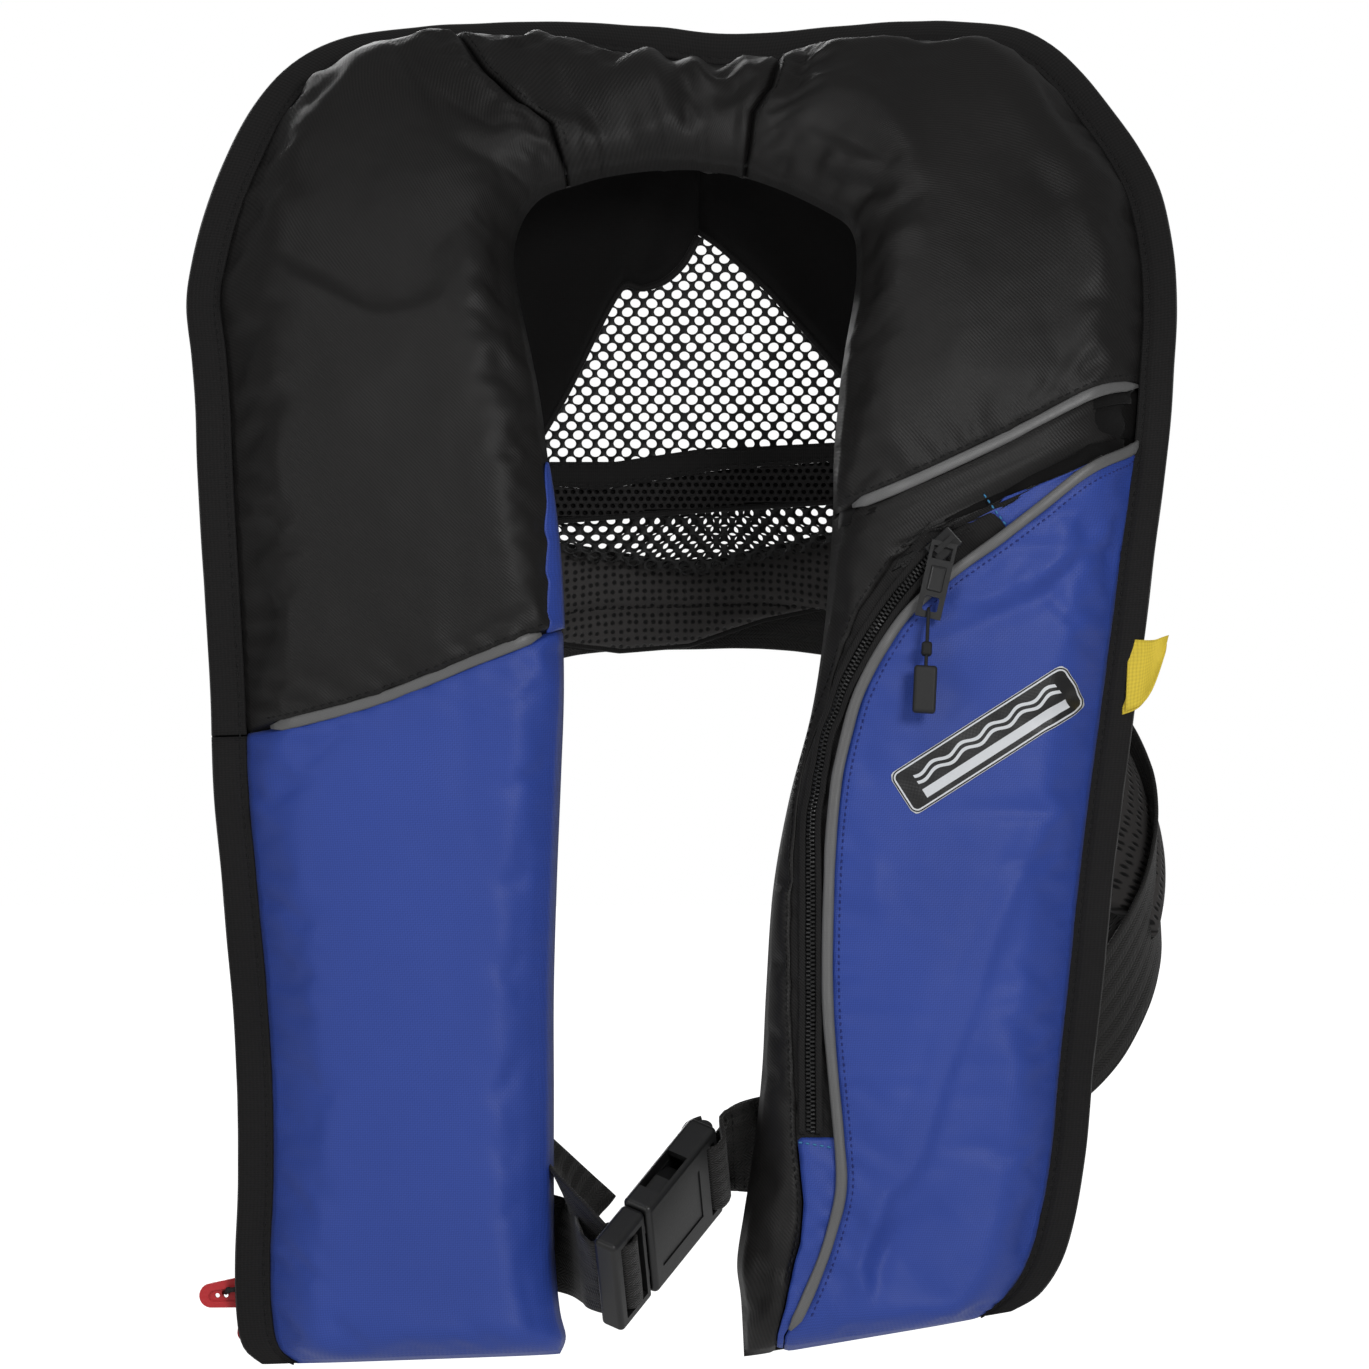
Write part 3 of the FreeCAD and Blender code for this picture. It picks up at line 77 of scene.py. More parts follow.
# Stations round the horseshoe, right foot to left foot: outer edge x, z, then inner edge x, z
STATIONS = np.array([
    (-169, 0, -49.8, 4.8), (-176.6, 6.4, -47.4, 11.6), (-179.4, 18.4, -49.8, 22.4),
    (-180.2, 42.4, -51.8, 44.4), (-179, 74.4, -52.2, 74.4), (-179.4, 110.4, -52.2, 110.4),
    (-181.8, 150.4, -52.2, 150.4), (-185.8, 194.4, -51, 194.4), (-189, 230.4, -49.4, 234.4),
    (-190.2, 266.4, -48.2, 270.4), (-192.2, 302.4, -49, 306.4), (-193.8, 330.4, -51, 334.4),
    (-195.4, 358.4, -54.6, 362.4), (-196.6, 382.4, -57.8, 386.4), (-198.6, 404.4, -61.8, 406.4),
    (-201, 424.4, -65.8, 424.4), (-199.4, 441.6, -68.2, 439.2), (-195, 461.6, -68.2, 450.4),
    (-187.4, 483.6, -65, 460.4), (-176.6, 507.2, -59.4, 468), (-161.8, 525.6, -53, 472),
    (-140.6, 536.8, -45, 474.4), (-109.8, 541.6, -34.6, 477.6), (-81.8, 543.2, -23.8, 479.6),
    (-54.6, 544, -13.8, 480.8), (-29.8, 542.8, -5, 481.2), (-7.8, 541.2, 3.4, 481.2),
    (14.2, 538.8, 11, 480.4), (36.2, 539.2, 19, 479.2), (61.4, 541.6, 28.2, 476.8),
    (92.2, 544, 39, 472.8), (112.6, 544, 49.4, 468), (136.6, 541.6, 59, 462.8),
    (151, 534.4, 65.4, 458.4), (163, 522.4, 68.6, 452.4), (174.2, 507.2, 69.4, 444.4),
    (185, 490.4, 69, 434.4), (193.4, 471.2, 67.4, 423.2), (197.8, 446.4, 65, 410.4),
    (198.6, 422.4, 63, 397.6), (197, 398.4, 61.4, 383.2), (195.4, 376.4, 59.8, 364.4),
    (192.2, 350.4, 59.4, 342.4), (188.2, 322.4, 57.8, 316.4), (184.6, 292.4, 55.4, 290.4),
    (180.6, 262.4, 50.6, 260.4), (175.8, 226.4, 41.8, 226.4), (171.4, 190.4, 35.4, 190.4),
    (167.4, 150.4, 32.6, 150.4), (163.8, 118.4, 31, 118.4), (161, 87.2, 27.8, 87.2),
    (156.6, 60.4, 23.8, 61.6), (151, 41.6, 21, 41.6), (142.2, 28.4, 22.6, 26.4),
    (131, 21.6, 23.8, 3.6)], float)
LAST = len(STATIONS) - 1
AT_END = LAST - 0.02

# Lines on the front cover, x and z, each with the span of stations it lies in
SEAM_R = [(-181.4, 252.0), (-153.8, 257.6), (-121.8, 266.4), (-85.8, 280.8), (-48.4, 295.4)]
SEAM_L = [(59.2, 340.2), (86.2, 349.6), (126.2, 366.4), (158.2, 381.6), (196.6, 397.0)]
NECK_R = [(-110, 541.7), (-91.8, 521.2), (-80.6, 505.6), (-66.6, 493.2), (-54.0, 486.0),
          (-47.0, 473.8)]
NECK_L = [(43.4, 540.0), (38.2, 523.2), (38.0, 510.8), (34.4, 499.2), (27.6, 491.2),
          (24.6, 477.9)]
POCKET = [(187.4, 374.4), (176.2, 364.4), (162.2, 356.8), (142.2, 342.4), (126.2, 331.2),
          (106.2, 317.0), (94.2, 306.6), (86.2, 298.4), (77.0, 284.4), (72.4, 275.4),
          (68.6, 266.4), (64.2, 250.4), (61.8, 240.0), (60.2, 230.4), (58.0, 206.4),
          (56.8, 170.0), (57.0, 144.4), (58.6, 121.6), (61.4, 91.6), (62.2, 72.0),
          (58.6, 55.6), (54.2, 42.0), (46.6, 24.0), (39.5, 13.2)]
ZIP_SIDE = [(168.2, 359.2), (154.2, 354.4), (120.2, 342.4), (98.2, 334.4), (84.2, 322.4),
            (70.2, 302.4), (58.2, 274.4), (48.2, 242.4), (44.2, 206.4), (43.0, 166.4),
            (43.6, 126.4), (45.0, 92.4), (47.4, 66.4), (46.2, 50.4), (42.6, 36.4),
            (40.0, 24.0), (37.0, 13.0)]
SPAN_SEAM_R, SPAN_SEAM_L = (6, 13), (38, 45)
SPAN_NECK_R, SPAN_NECK_L = (17, 25), (25, 31)
SPAN_POCKET, SPAN_ZIP, SPAN_FACING = (39, LAST), (41, LAST), (39, 48)

# Folds of the front cover: path of x, z points, height, half width left and right of the path
FOLDS = [
    ([(-121, 525), (-108, 503), (-92, 478)], -1.6, 3, 4.5),
    ([(-103, 531), (-88, 507), (-60, 480)], 3.2, 5, 6),
    ([(-118, 520), (-101, 500), (-64, 473)], -3.8, 5.5, 6.5),
    ([(-91, 477), (-78, 471), (-62, 468)], -2.6, 3.5, 5),
    ([(-88, 484), (-70, 478), (-60, 470)], 2.4, 5, 4),
    ([(-151, 521), (-141, 510), (-150, 499), (-171, 488)], -3.4, 5.5, 6.5),
    ([(-160, 524), (-150, 512), (-158, 503)], 2.6, 5, 5),
    ([(-170, 475), (-174, 456), (-172, 438)], -3, 6, 9),
    ([(-170, 432), (-150, 421), (-121, 408), (-92, 418)], 3, 5, 16),
    ([(-172, 440), (-148, 430), (-118, 419)], -1.8, 8, 8),
    ([(-182, 362), (-171, 370), (-160, 382)], -2.4, 4, 6),
    ([(-182, 396), (-172, 405), (-163, 415)], -2.2, 5, 6),
    ([(-138, 366), (-130, 392), (-120, 408)], 2.2, 12, 18),
    ([(-86, 452), (-100, 440), (-108, 420)], -1.8, 9, 9),
    ([(-72, 447), (-82, 436), (-84, 415)], 1.8, 7, 8),
    ([(-176, 330), (-168, 300), (-170, 276)], -1.6, 5, 7),
    ([(-54, 510), (-44, 497), (-30, 484)], -5, 8, 7),
    ([(-64, 523), (-56, 539)], 3.6, 7, 6),
    ([(-42, 529), (-30, 526), (-10, 529)], -2.4, 4, 7),
    ([(-48, 486), (-38, 484), (-26, 480)], 3, 4, 4),
    ([(-18, 521), (-12, 505), (-4, 487)], 3.4, 10, 9),
    ([(1, 532), (-5, 514), (0, 494)], -4.4, 7, 6),
    ([(6, 528), (4, 510), (9, 497)], 3.6, 5, 6),
    ([(10, 515), (16, 507), (24, 501)], -3, 4, 5),
    ([(3, 499), (14, 496), (24, 497)], -2.2, 4, 4),
    ([(20, 530), (24, 514), (28, 504)], 2.4, 6, 5),
    ([(-20, 484), (-8, 487), (4, 484)], 2.4, 4, 5),
    ([(41, 508), (48, 512), (45, 498)], -4, 4, 4),
    ([(43, 499), (62, 499), (82, 488), (94, 462)], 2.8, 7, 9),
    ([(49, 486), (66, 480), (88, 468)], -2.8, 4, 5),
    ([(55, 468), (72, 463), (92, 459)], -3.4, 3.6, 4.4),
    ([(54, 474), (70, 470), (88, 466)], 2.8, 4, 4),
    ([(62, 457), (76, 456), (90, 461)], 2.4, 4, 4),
    ([(72, 449), (84, 452), (95, 458)], -2.2, 4, 5),
    ([(78, 438), (88, 442), (97, 446)], 2, 5, 6),
    ([(85, 509), (98, 518), (112, 523)], -3, 9, 12),
    ([(139, 470), (146, 461), (153, 452)], -2.6, 7, 9),
    ([(151, 497), (158, 489), (165, 478)], -3, 7, 9),
    ([(120, 500), (132, 492), (140, 480)], 1.8, 10, 12),
    ([(160, 452), (165, 440), (168, 424)], 2, 5, 8),
    ([(110, 440), (112, 415), (104, 388)], 1.8, 12, 14),
    ([(148, 430), (146, 410), (150, 394)], -1.6, 9, 9),
    ([(103, 291), (126, 301), (145, 310), (159, 328), (163, 342)], -2.6, 4, 6),
    ([(100, 299), (124, 309), (146, 320), (152, 334)], 2.2, 5, 5),
    ([(98, 276), (106, 270), (112, 264)], -2.2, 12, 12),
    ([(157, 234), (140, 210), (126, 181), (112, 148), (99, 109), (90, 82), (80, 70), (73, 51)],
     5, 5, 24),
    ([(150, 238), (132, 207), (116, 178), (103, 146), (90, 110), (82, 86)], -1.8, 12, 5),
    ([(80, 72), (72, 50), (70, 28)], 2.6, 3.5, 4.5),
    ([(88, 60), (80, 46), (76, 26)], -2.2, 4, 5),
    ([(82, 46), (92, 54), (104, 65)], -3.2, 7, 9),
    ([(132, 44), (138, 55), (143, 66)], -2.6, 7, 9),
    ([(76, 202), (76, 192), (77, 178)], 1.8, 5, 7),
    ([(75, 232), (72, 244), (74, 256)], -1.6, 5, 6),
    ([(170, 310), (172, 326), (176, 344)], -1.8, 4, 5),
    ([(116, 160), (128, 120), (140, 92)], 1.8, 14, 16),
    ([(-120, 20), (-90, 14), (-62, 18)], 1.4, 7, 9),
    ([(-66, 40), (-60, 24), (-58, 12)], -1.5, 4, 4),
    ([(-56, 240), (-58, 200), (-56, 160)], 1, 4, 6),
    ([(-130, 246), (-124, 190), (-128, 120)], 1.1, 20, 24),
    ([(-158, 236), (-152, 200), (-156, 150)], -0.9, 9, 12),
    ([(-90, 268), (-86, 250), (-88, 226)], -1.1, 7, 8),
    ([(-64, 276), (-66, 258), (-64, 240)], 0.9, 5, 6),
    ([(26, 54), (31, 40), (30, 22)], -2.4, 4, 4),
    ([(34, 60), (38, 46), (36, 30)], 1.8, 4, 4),
    ([(66, 330), (74, 316), (82, 300)], -1.8, 4, 6),
    ([(86, 340), (98, 336), (112, 344)], 2, 5, 5),
    ([(46, 300), (50, 276), (44, 250)], 1.2, 4, 5),
    ([(40, 200), (38, 160), (37, 120)], 1, 3, 5),
]


# ---------------------------------------------------------------- curves and noise
def floats(values):
    return np.asarray(values, float)


def catmull_rom(points, t):
    """Smooth curve through the rows of points; t counts rows."""
    points = floats(points)
    end = len(points) - 1
    t = np.clip(floats(t), 0, end)
    i = np.minimum(t.astype(int), end - 1)
    f = (t - i)[..., None]
    p0, p1 = points[np.clip(i - 1, 0, end)], points[i]
    p2, p3 = points[i + 1], points[np.clip(i + 2, 0, end)]
    return 0.5 * (2 * p1 + (p2 - p0) * f + (2 * p0 - 5 * p1 + 4 * p2 - p3) * f ** 2
                  + (3 * p1 - p0 - 3 * p2 + p3) * f ** 3)


def spline(points, per_span):
    spans = len(points) - 1
    return catmull_rom(points, np.linspace(0, spans, per_span * spans + 1))


def running_length(points):
    steps = np.linalg.norm(np.diff(points, axis=0), axis=1)
    return np.concatenate([[0], np.cumsum(steps)])


def resample(points, step):
    """Rows at an even spacing near step."""
    points = floats(points)
    length = running_length(points)
    count = max(2, int(round(length[-1] / step)) + 1)
    places = np.linspace(0, length[-1], count)
    return np.stack([np.interp(places, length, column) for column in points.T], -1)


def smooth_rows(rows, times=2):
    rows = rows.copy()
    for _ in range(times):
        rows[1:-1] = rows[1:-1] * 0.5 + (rows[:-2] + rows[2:]) * 0.25
    return rows


def unit(vectors):
    return vectors / np.maximum(1e-9, np.linalg.norm(vectors, axis=-1, keepdims=True))


def tangents(path):
    return unit(np.gradient(path, axis=0))


def grid_normals(grid):
    return unit(np.cross(np.gradient(grid, axis=0), np.gradient(grid, axis=1)))


def smooth_noise(x, y, seed):
    """Smooth noise in -1..1, one cell per unit."""
    table = np.random.default_rng(seed).uniform(-1, 1, (64, 64))
    i, j = np.floor(x).astype(int), np.floor(y).astype(int)
    fx, fy = x - i, y - j
    fx, fy = fx * fx * (3 - 2 * fx), fy * fy * (3 - 2 * fy)

    def row(j):
        return table[i % 64, j % 64] * (1 - fx) + table[(i + 1) % 64, j % 64] * fx

    return row(j) * (1 - fy) + row(j + 1) * fy


# ---------------------------------------------------------------- casing coordinates
# at: station number along the horseshoe.   inset: distance in from the outer edge.
# share: 0 at the flange's inner side, 1 at the casing's inner edge.
def edges(at):
    return catmull_rom(STATIONS, at)


def width(at):
    edge = edges(at)
    return np.hypot(edge[..., 2] - edge[..., 0], edge[..., 3] - edge[..., 1])


FINE_AT = np.linspace(0, LAST, LAST * 16 + 1)
FINE_EDGES = edges(FINE_AT)
FINE_LENGTH = running_length((FINE_EDGES[:, :2] + FINE_EDGES[:, 2:]) / 2)
TOTAL_LENGTH = FINE_LENGTH[-1]


def length_to(at):
    """Length along the middle of the horseshoe up to a station."""
    return np.interp(at, FINE_AT, FINE_LENGTH)


def station_at(length):
    return np.interp(length, FINE_LENGTH, FINE_AT)


def stations_every(step, start, end):
    count = int((length_to(end) - length_to(start)) / step)
    return station_at(np.linspace(length_to(start), length_to(end), count + 1))


def inset_of(at, share):
    return BIND + (width(at) - BIND) * share


def end_fade(at):
    """The swell closes over the last 14 mm at both feet."""
    from_end = np.minimum(length_to(at), TOTAL_LENGTH - length_to(at))
    k = 1 - np.minimum(1, from_end / 14.0)
    return np.maximum(0.14, np.sqrt(np.maximum(0, 1 - k * k)))


def swell(at, inset, puff):
    """Height of a smooth cover above the casing's middle sheet."""
    rise = np.sin(np.pi / 2 * np.clip((inset - BIND) / RISE, 0, 1))
    top = FLANGE_LIFT + puff * rise * end_fade(at)
    fall = np.clip((inset - (width(at) - ROUND)) / ROUND, 0, 1)
    return top * np.sqrt(np.maximum(0, 1 - fall * fall))


def bend_angle(z):
    return BEND_MAX * np.clip((z - BEND_Z) / (TOP_Z - BEND_Z), 0, 1)


def wrap(x):
    return CHEST * (floats(x) / 200.0) ** 2


def place(x, z, lift):
    """Point of the bent casing; lift is positive to the front."""
    angle = bend_angle(z)
    lean = -(TOP_Z - BEND_Z) / BEND_MAX * np.log(np.cos(angle))
    y = lean + wrap(x) - lift * np.cos(angle)
    return np.stack(np.broadcast_arrays(x, y, z + lift * np.sin(angle)), -1)


def elevation(at, inset):
    edge = edges(at)
    part = inset / width(at)
    return (edge[..., 0] + (edge[..., 2] - edge[..., 0]) * part,
            edge[..., 1] + (edge[..., 3] - edge[..., 1]) * part)


def casing_point(at, inset, lift):
    x, z = elevation(at, inset)
    return place(x, z, lift)


def locate(x, z, low=0.0, high=float(LAST)):
    """Station and inset of a point in the front elevation."""
    scan = np.linspace(low, high, 1200)
    edge = edges(scan)
    side = ((edge[:, 2] - edge[:, 0]) * (z - edge[:, 1])
            - (edge[:, 3] - edge[:, 1]) * (x - edge[:, 0]))
    best = None
    for i in np.nonzero(side[:-1] * side[1:] <= 0)[0]:
        k = side[i] / (side[i] - side[i + 1] + 1e-12)
        at = scan[i] + (scan[i + 1] - scan[i]) * k
        x0, z0, x1, z1 = edges(at)
        part = (((x - x0) * (x1 - x0) + (z - z0) * (z1 - z0))
                / ((x1 - x0) ** 2 + (z1 - z0) ** 2))
        if -0.1 < part < 1.1 and (best is None or abs(part - .5) < abs(best[1] - .5)):
            best = (float(at), float(part))
    if best is None:
        raise ValueError(("outside", x, z))
    return best[0], best[1] * float(width(best[0]))


def line_table(points, span, by_station=False):
    """A drawn line as station against part of the width, or the other way round."""
    rows = []
    for x, z in points:
        at, inset = locate(x, z, *span)
        part = inset / float(width(at))
        rows.append((at, part) if by_station else (part, at))
    keys, values = zip(*sorted(rows))
    return lambda query: np.interp(query, keys, values)


seam_right = line_table(SEAM_R, SPAN_SEAM_R)
seam_left = line_table(SEAM_L, SPAN_SEAM_L)
neck_right = line_table(NECK_R, SPAN_NECK_R)
neck_left = line_table(NECK_L, SPAN_NECK_L)
pocket_line = line_table(POCKET, SPAN_POCKET, by_station=True)
zip_line = line_table(ZIP_SIDE, SPAN_POCKET, by_station=True)
AT_POCKET = locate(*POCKET[0], 38, 46)[0]
AT_ZIP_TOP = locate(*ZIP_SIDE[0], 38, 48)[0]
AT_SEAM_R = float(seam_right(0.0))


# ---------------------------------------------------------------- mesh helpers
def new_mesh(name, points, faces, material, uvs=None, smooth=True):
    mesh = bpy.data.meshes.new(name)
    places = (floats(points) - ORIGIN) * MM
    mesh.from_pydata(places.tolist(), [], [tuple(int(i) for i in face) for face in faces])
    if uvs is not None:
        layer = mesh.uv_layers.new(name="UVMap")
        index = np.empty(len(mesh.loops), dtype=np.int32)
        mesh.loops.foreach_get("vertex_index", index)
        layer.data.foreach_set("uv", (floats(uvs)[index] * MM).astype(np.float32).ravel())
    if smooth:
        mesh.polygons.foreach_set("use_smooth", np.ones(len(mesh.polygons), dtype=bool))
    mesh.update()
    mesh.validate()
    obj = bpy.data.objects.new(name, mesh)
    bpy.context.scene.collection.objects.link(obj)
    if material is not None:
        obj.data.materials.append(material)
    return obj


def local(metres):
    """A place in design metres, seen from the record's origin."""
    return tuple(float(v) for v in floats(metres) - ORIGIN * MM)


# Pieces that stretch between two bodies: the bodies, then start and end in design metres
FLAP = ("casing", "right_cover", (-0.115, 0.0, 0.250), (-0.115, 0.0, 0.035))
BELT_RUN = ("casing", "male_buckle", (-0.110, 0.021, 0.078), (-0.036, -0.008, 0.042))
BELT_TAIL = ("casing", "male_buckle", (-0.043, 0.014, 0.072), (-0.038, -0.028, 0.036))


def attach(obj, replaces=None, blend=None):
    if blend:
        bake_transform(obj)
    else:
        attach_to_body(obj, "casing")
    if replaces:
        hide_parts(replaces)


def quads(*corners):
    return np.stack(corners, -1).reshape(-1, 4)


def flipped(faces):
    return [face[::-1] for face in faces]


def tube_faces(rings, count):
    """Side faces and two caps of a tube made of rings of points."""
    here = np.arange(rings * count).reshape(rings, count)
    beside = np.roll(here, -1, axis=1)
    sides = quads(here[:-1], here[1:], beside[1:], beside[:-1]).tolist()
    return sides, [here[0].tolist()[::-1], here[-1].tolist()]


def solid_grid(name, top, bottom, material, uv):
    """Closed sheet between two grids of points."""
    n, m = top.shape[:2]
    points = np.concatenate([top.reshape(-1, 3), bottom.reshape(-1, 3)])
    a = np.arange(n * m).reshape(n, m)
    b = a + n * m
    faces = np.concatenate([
        quads(a[:-1, :-1], a[1:, :-1], a[1:, 1:], a[:-1, 1:]),
        quads(b[:-1, :-1], b[:-1, 1:], b[1:, 1:], b[1:, :-1]),
        quads(a[:-1, 0], b[:-1, 0], b[1:, 0], a[1:, 0]),
        quads(a[1:, -1], b[1:, -1], b[:-1, -1], a[:-1, -1]),
        quads(a[0, 1:], b[0, 1:], b[0, :-1], a[0, :-1]),
        quads(a[-1, :-1], b[-1, :-1], b[-1, 1:], a[-1, 1:])])
    # turn the faces outward, judged at the middle of the top
    i, j = n // 2, m // 2
    i1, j1 = min(n - 1, i + 1), min(m - 1, j + 1)
    normal = np.cross(top[i1, j] - top[i, j], top[i1, j1] - top[i, j])
    if normal @ (top[i, j] - bottom[i, j]) < 0:
        faces = faces[:, ::-1]
    uv = uv.reshape(-1, 2)
    return new_mesh(name, points, faces, material, np.concatenate([uv, uv]))


def sweep(name, path, wide, profile, material):
    """Closed profile of (width, normal) points carried along a path; it may vary by row."""
    path, wide = floats(path), floats(wide)
    ahead = tangents(path)
    wide = unit(wide - (wide * ahead).sum(-1, keepdims=True) * ahead)
    normal = unit(np.cross(ahead, wide))
    profile = floats(profile)
    if profile.ndim == 2:
        profile = np.repeat(profile[None], len(path), 0)
    n, k = profile.shape[:2]
    points = (path[:, None] + wide[:, None] * profile[..., :1]
              + normal[:, None] * profile[..., 1:])
    sides, caps = tube_faces(n, k)
    px, py = profile[0].T
    if (px * np.roll(py, -1) - np.roll(px, -1) * py).sum() > 0:
        sides = flipped(sides)
    else:
        caps = flipped(caps)
    along = np.repeat(running_length(path)[:, None], k, 1)
    uv = np.stack([along, profile[..., 0]], -1)
    return new_mesh(name, points.reshape(-1, 3), sides + caps, material, uv.reshape(-1, 2))


def strap_profile(wide, thick, count):
    """Flat section with rounded sides."""
    half, r = wide / 2, thick / 2
    xs = np.linspace(-half + r, half - r, count)
    turn = (math.pi / 4, 0, -math.pi / 4)
    return floats([(x, r) for x in xs]
                  + [(half - r + r * math.cos(a), r * math.sin(a)) for a in turn]
                  + [(x, -r) for x in xs[::-1]]
                  + [(-half + r - r * math.cos(a), -r * math.sin(a)) for a in turn])


def oval(wide, thick, count, power=1.0):
    angle = np.linspace(0, 2 * math.pi, count, endpoint=False)
    c, s = np.cos(angle), np.sin(angle)
    return np.stack([wide / 2 * np.sign(c) * np.abs(c) ** power,
                     thick / 2 * np.sign(s) * np.abs(s) ** power], -1)


# Rings of one stitch: place along it, radius and lift, as shares of its length and radius
STITCH_RINGS = [(-0.5, 0.15, -0.4), (-0.36, 0.85, 0.1), (0.0, 1.0, 0.45), (0.36, 0.85, 0.1),
                (0.5, 0.15, -0.4)]
STITCH_SIDES, STITCH_SINK, STITCH_JITTER = 6, 0.05, 0.06


def stitches(name, path, normals, material, length, gap, radius=0.32, blend=None):
    """A row of thread stitches; the length of the name seeds their turn."""
    rows = resample(np.concatenate([floats(path), floats(normals)], 1), length + gap)
    path, normals = rows[:, :3], unit(rows[:, 3:])
    ahead = tangents(path)
    normals = unit(normals - (normals * ahead).sum(-1, keepdims=True) * ahead)
    side = np.cross(ahead, normals)
    angles = np.linspace(0, 2 * math.pi, STITCH_SIDES, endpoint=False)
    shape = floats([(x * length, r * radius * math.cos(a),
                     r * radius * math.sin(a) + up * radius - STITCH_SINK)
                    for x, r, up in STITCH_RINGS for a in angles])
    sides, caps = tube_faces(len(STITCH_RINGS), STITCH_SIDES)
    random = np.random.default_rng(len(name))
    points, faces = [], []
    for i in range(len(path)):
        turn, _ = random.normal(0, STITCH_JITTER, 2)
        points.append(path[i] + shape[:, :1] * (ahead[i] + side[i] * turn)
                      + shape[:, 1:2] * side[i] + shape[:, 2:] * normals[i])
        faces += [[q + i * len(shape) for q in face] for face in sides + caps]
    attach(new_mesh(name, np.concatenate(points), faces, material), blend=blend)


# ---------------------------------------------------------------- shader helpers
def feed(socket, value):
    if isinstance(value, Signal):
        socket.id_data.links.new(value.socket, socket)
    else:
        socket.default_value = value


def calc(operation, first, second=0.0):
    """A math node; its unused inputs are zero."""
    tree = (first if isinstance(first, Signal) else second).socket.id_data
    node = tree.nodes.new("ShaderNodeMath")
    node.operation = operation
    for socket, value in zip(node.inputs, (first, second, 0.0)):
        feed(socket, value)
    return Signal(node.outputs[0])


class Signal:
    """A shader output; arithmetic on it adds math nodes."""

    def __init__(self, socket):
        self.socket = socket

    def __add__(self, other):
        return calc("ADD", self, other)

    def __sub__(self, other):
        return calc("SUBTRACT", self, other)

    def __rsub__(self, other):
        return calc("SUBTRACT", other, self)

    def __mul__(self, other):
        return calc("MULTIPLY", self, other)

    def __mod__(self, other):
        return calc("MODULO", self, other)

    def __abs__(self):
        return calc("ABSOLUTE", self)

    def __gt__(self, other):
        return calc("GREATER_THAN", self, other)

    def __lt__(self, other):
        return calc("LESS_THAN", self, other)


def sine(value):
    return calc("SINE", value)


def sign(value):
    return calc("SIGN", value)


def larger(first, second):
    return calc("MAXIMUM", first, second)


class Shader:
    """A material on the Principled shader; each method adds a node and returns its output."""

    def __init__(self, name):
        self.material = bpy.data.materials.new(name)
        self.material.use_nodes = True
        self.nodes = self.material.node_tree.nodes

    def node(self, kind, inputs=None, output=0, **settings):
        node = self.nodes.new(kind)
        for key, value in settings.items():
            setattr(node, key, value)
        for key, value in (inputs or {}).items():
            feed(node.inputs[key], value)
        return Signal(node.outputs[output])

    def uv(self):
        return self.node("ShaderNodeUVMap", uv_map="UVMap")

    def split(self, vector):
        """The vector's x and y."""
        x = self.node("ShaderNodeSeparateXYZ", {0: vector})
        return x, Signal(x.socket.node.outputs[1])

    def object_place(self):
        return self.node("ShaderNodeTexCoord", output="Object")

    def noise(self, scale, detail=2.0, **vector):
        return self.node("ShaderNodeTexNoise", {"Scale": scale, "Detail": detail, **vector})

    def map_range(self, value, source, target):
        return self.node("ShaderNodeMapRange", {0: value, 1: source[0], 2: source[1],
                                                3: target[0], 4: target[1]})

    def mix(self, factor, first, second):
        colours = [c if isinstance(c, Signal) else (*c, 1) for c in (first, second)]
        return self.node("ShaderNodeMix", {0: factor, 6: colours[0], 7: colours[1]}, 2,
                         data_type="RGBA")

    def bump(self, height, strength, distance, **normal):
        return self.node("ShaderNodeBump", {"Strength": strength, "Distance": distance,
                                            "Height": height, **normal})

    def finish(self, **inputs):
        """Sets the Principled shader; underscores stand for spaces."""
        for key, value in inputs.items():
            feed(self.nodes["Principled BSDF"].inputs[key.replace("_", " ")], value)
        return self.material


def weave_height(kind, pitch, u, v, wobble):
    """Thread height of a weave; u and v are in metres."""
    k = math.pi / (pitch * MM)
    if kind == "herring":                # rows of V
        chevron = abs((v + 1.0) % (6.4 * MM) - 3.2 * MM)
        first = sine((u + chevron * 1.1) * k)
        second = sine(v * (math.pi / (1.6 * MM)))
        return abs(first) * 0.7 + abs(second) * 0.4
    if kind == "twill":
        first = sine((u + v + wobble) * (k * 0.7))
        second = sine((u - v) * (k * 0.7) * 2.0)
        return first * first * 0.8 + second * second * 0.25
    first = sine((u + wobble) * k)
    if kind == "rib":                    # ribs across the tape
        second = sine(v * (k * 0.6) + sign(first) * (math.pi / 2))
        return abs(first) * 0.65 + second * second * 0.35
    second = sine((v + wobble) * k)      # plain weave
    over = sign(first * second) * 0.5
    return abs(first) * (over + 0.5) + abs(second) * (0.5 - over)


def weave(name, high, low, pitch, kind, rough, sheen, spec, bump, mottle=0.12):
    """Woven cloth: colours of high and low thread, and the pitch of its threads in mm."""
    m = Shader(name)
    u, v = m.split(m.uv())
    place = m.object_place()
    wobble = None
    if kind != "herring":
        wobble = (m.noise(60.0, Vector=place) - 0.5) * 0.0012
    height = weave_height(kind, pitch, u, v, wobble)
    fine = m.noise(900.0, Vector=place)
    value = m.map_range(m.noise(14.0, 3.0, Vector=place), (0.3, 0.7), (1 - mottle, 1 + mottle))
    colour = m.node("ShaderNodeHueSaturation",
                    {"Color": m.mix(height, low, high), "Value": value})
    grain = m.bump(fine, strength=0.12, distance=0.0002)
    return m.finish(Base_Color=colour, Roughness=fine * 0.14 + (rough - 0.07),
                    Specular_IOR_Level=spec, Sheen_Weight=sheen, Sheen_Roughness=0.4,
                    Normal=m.bump(height, bump, pitch * 0.22 * MM, Normal=grain))


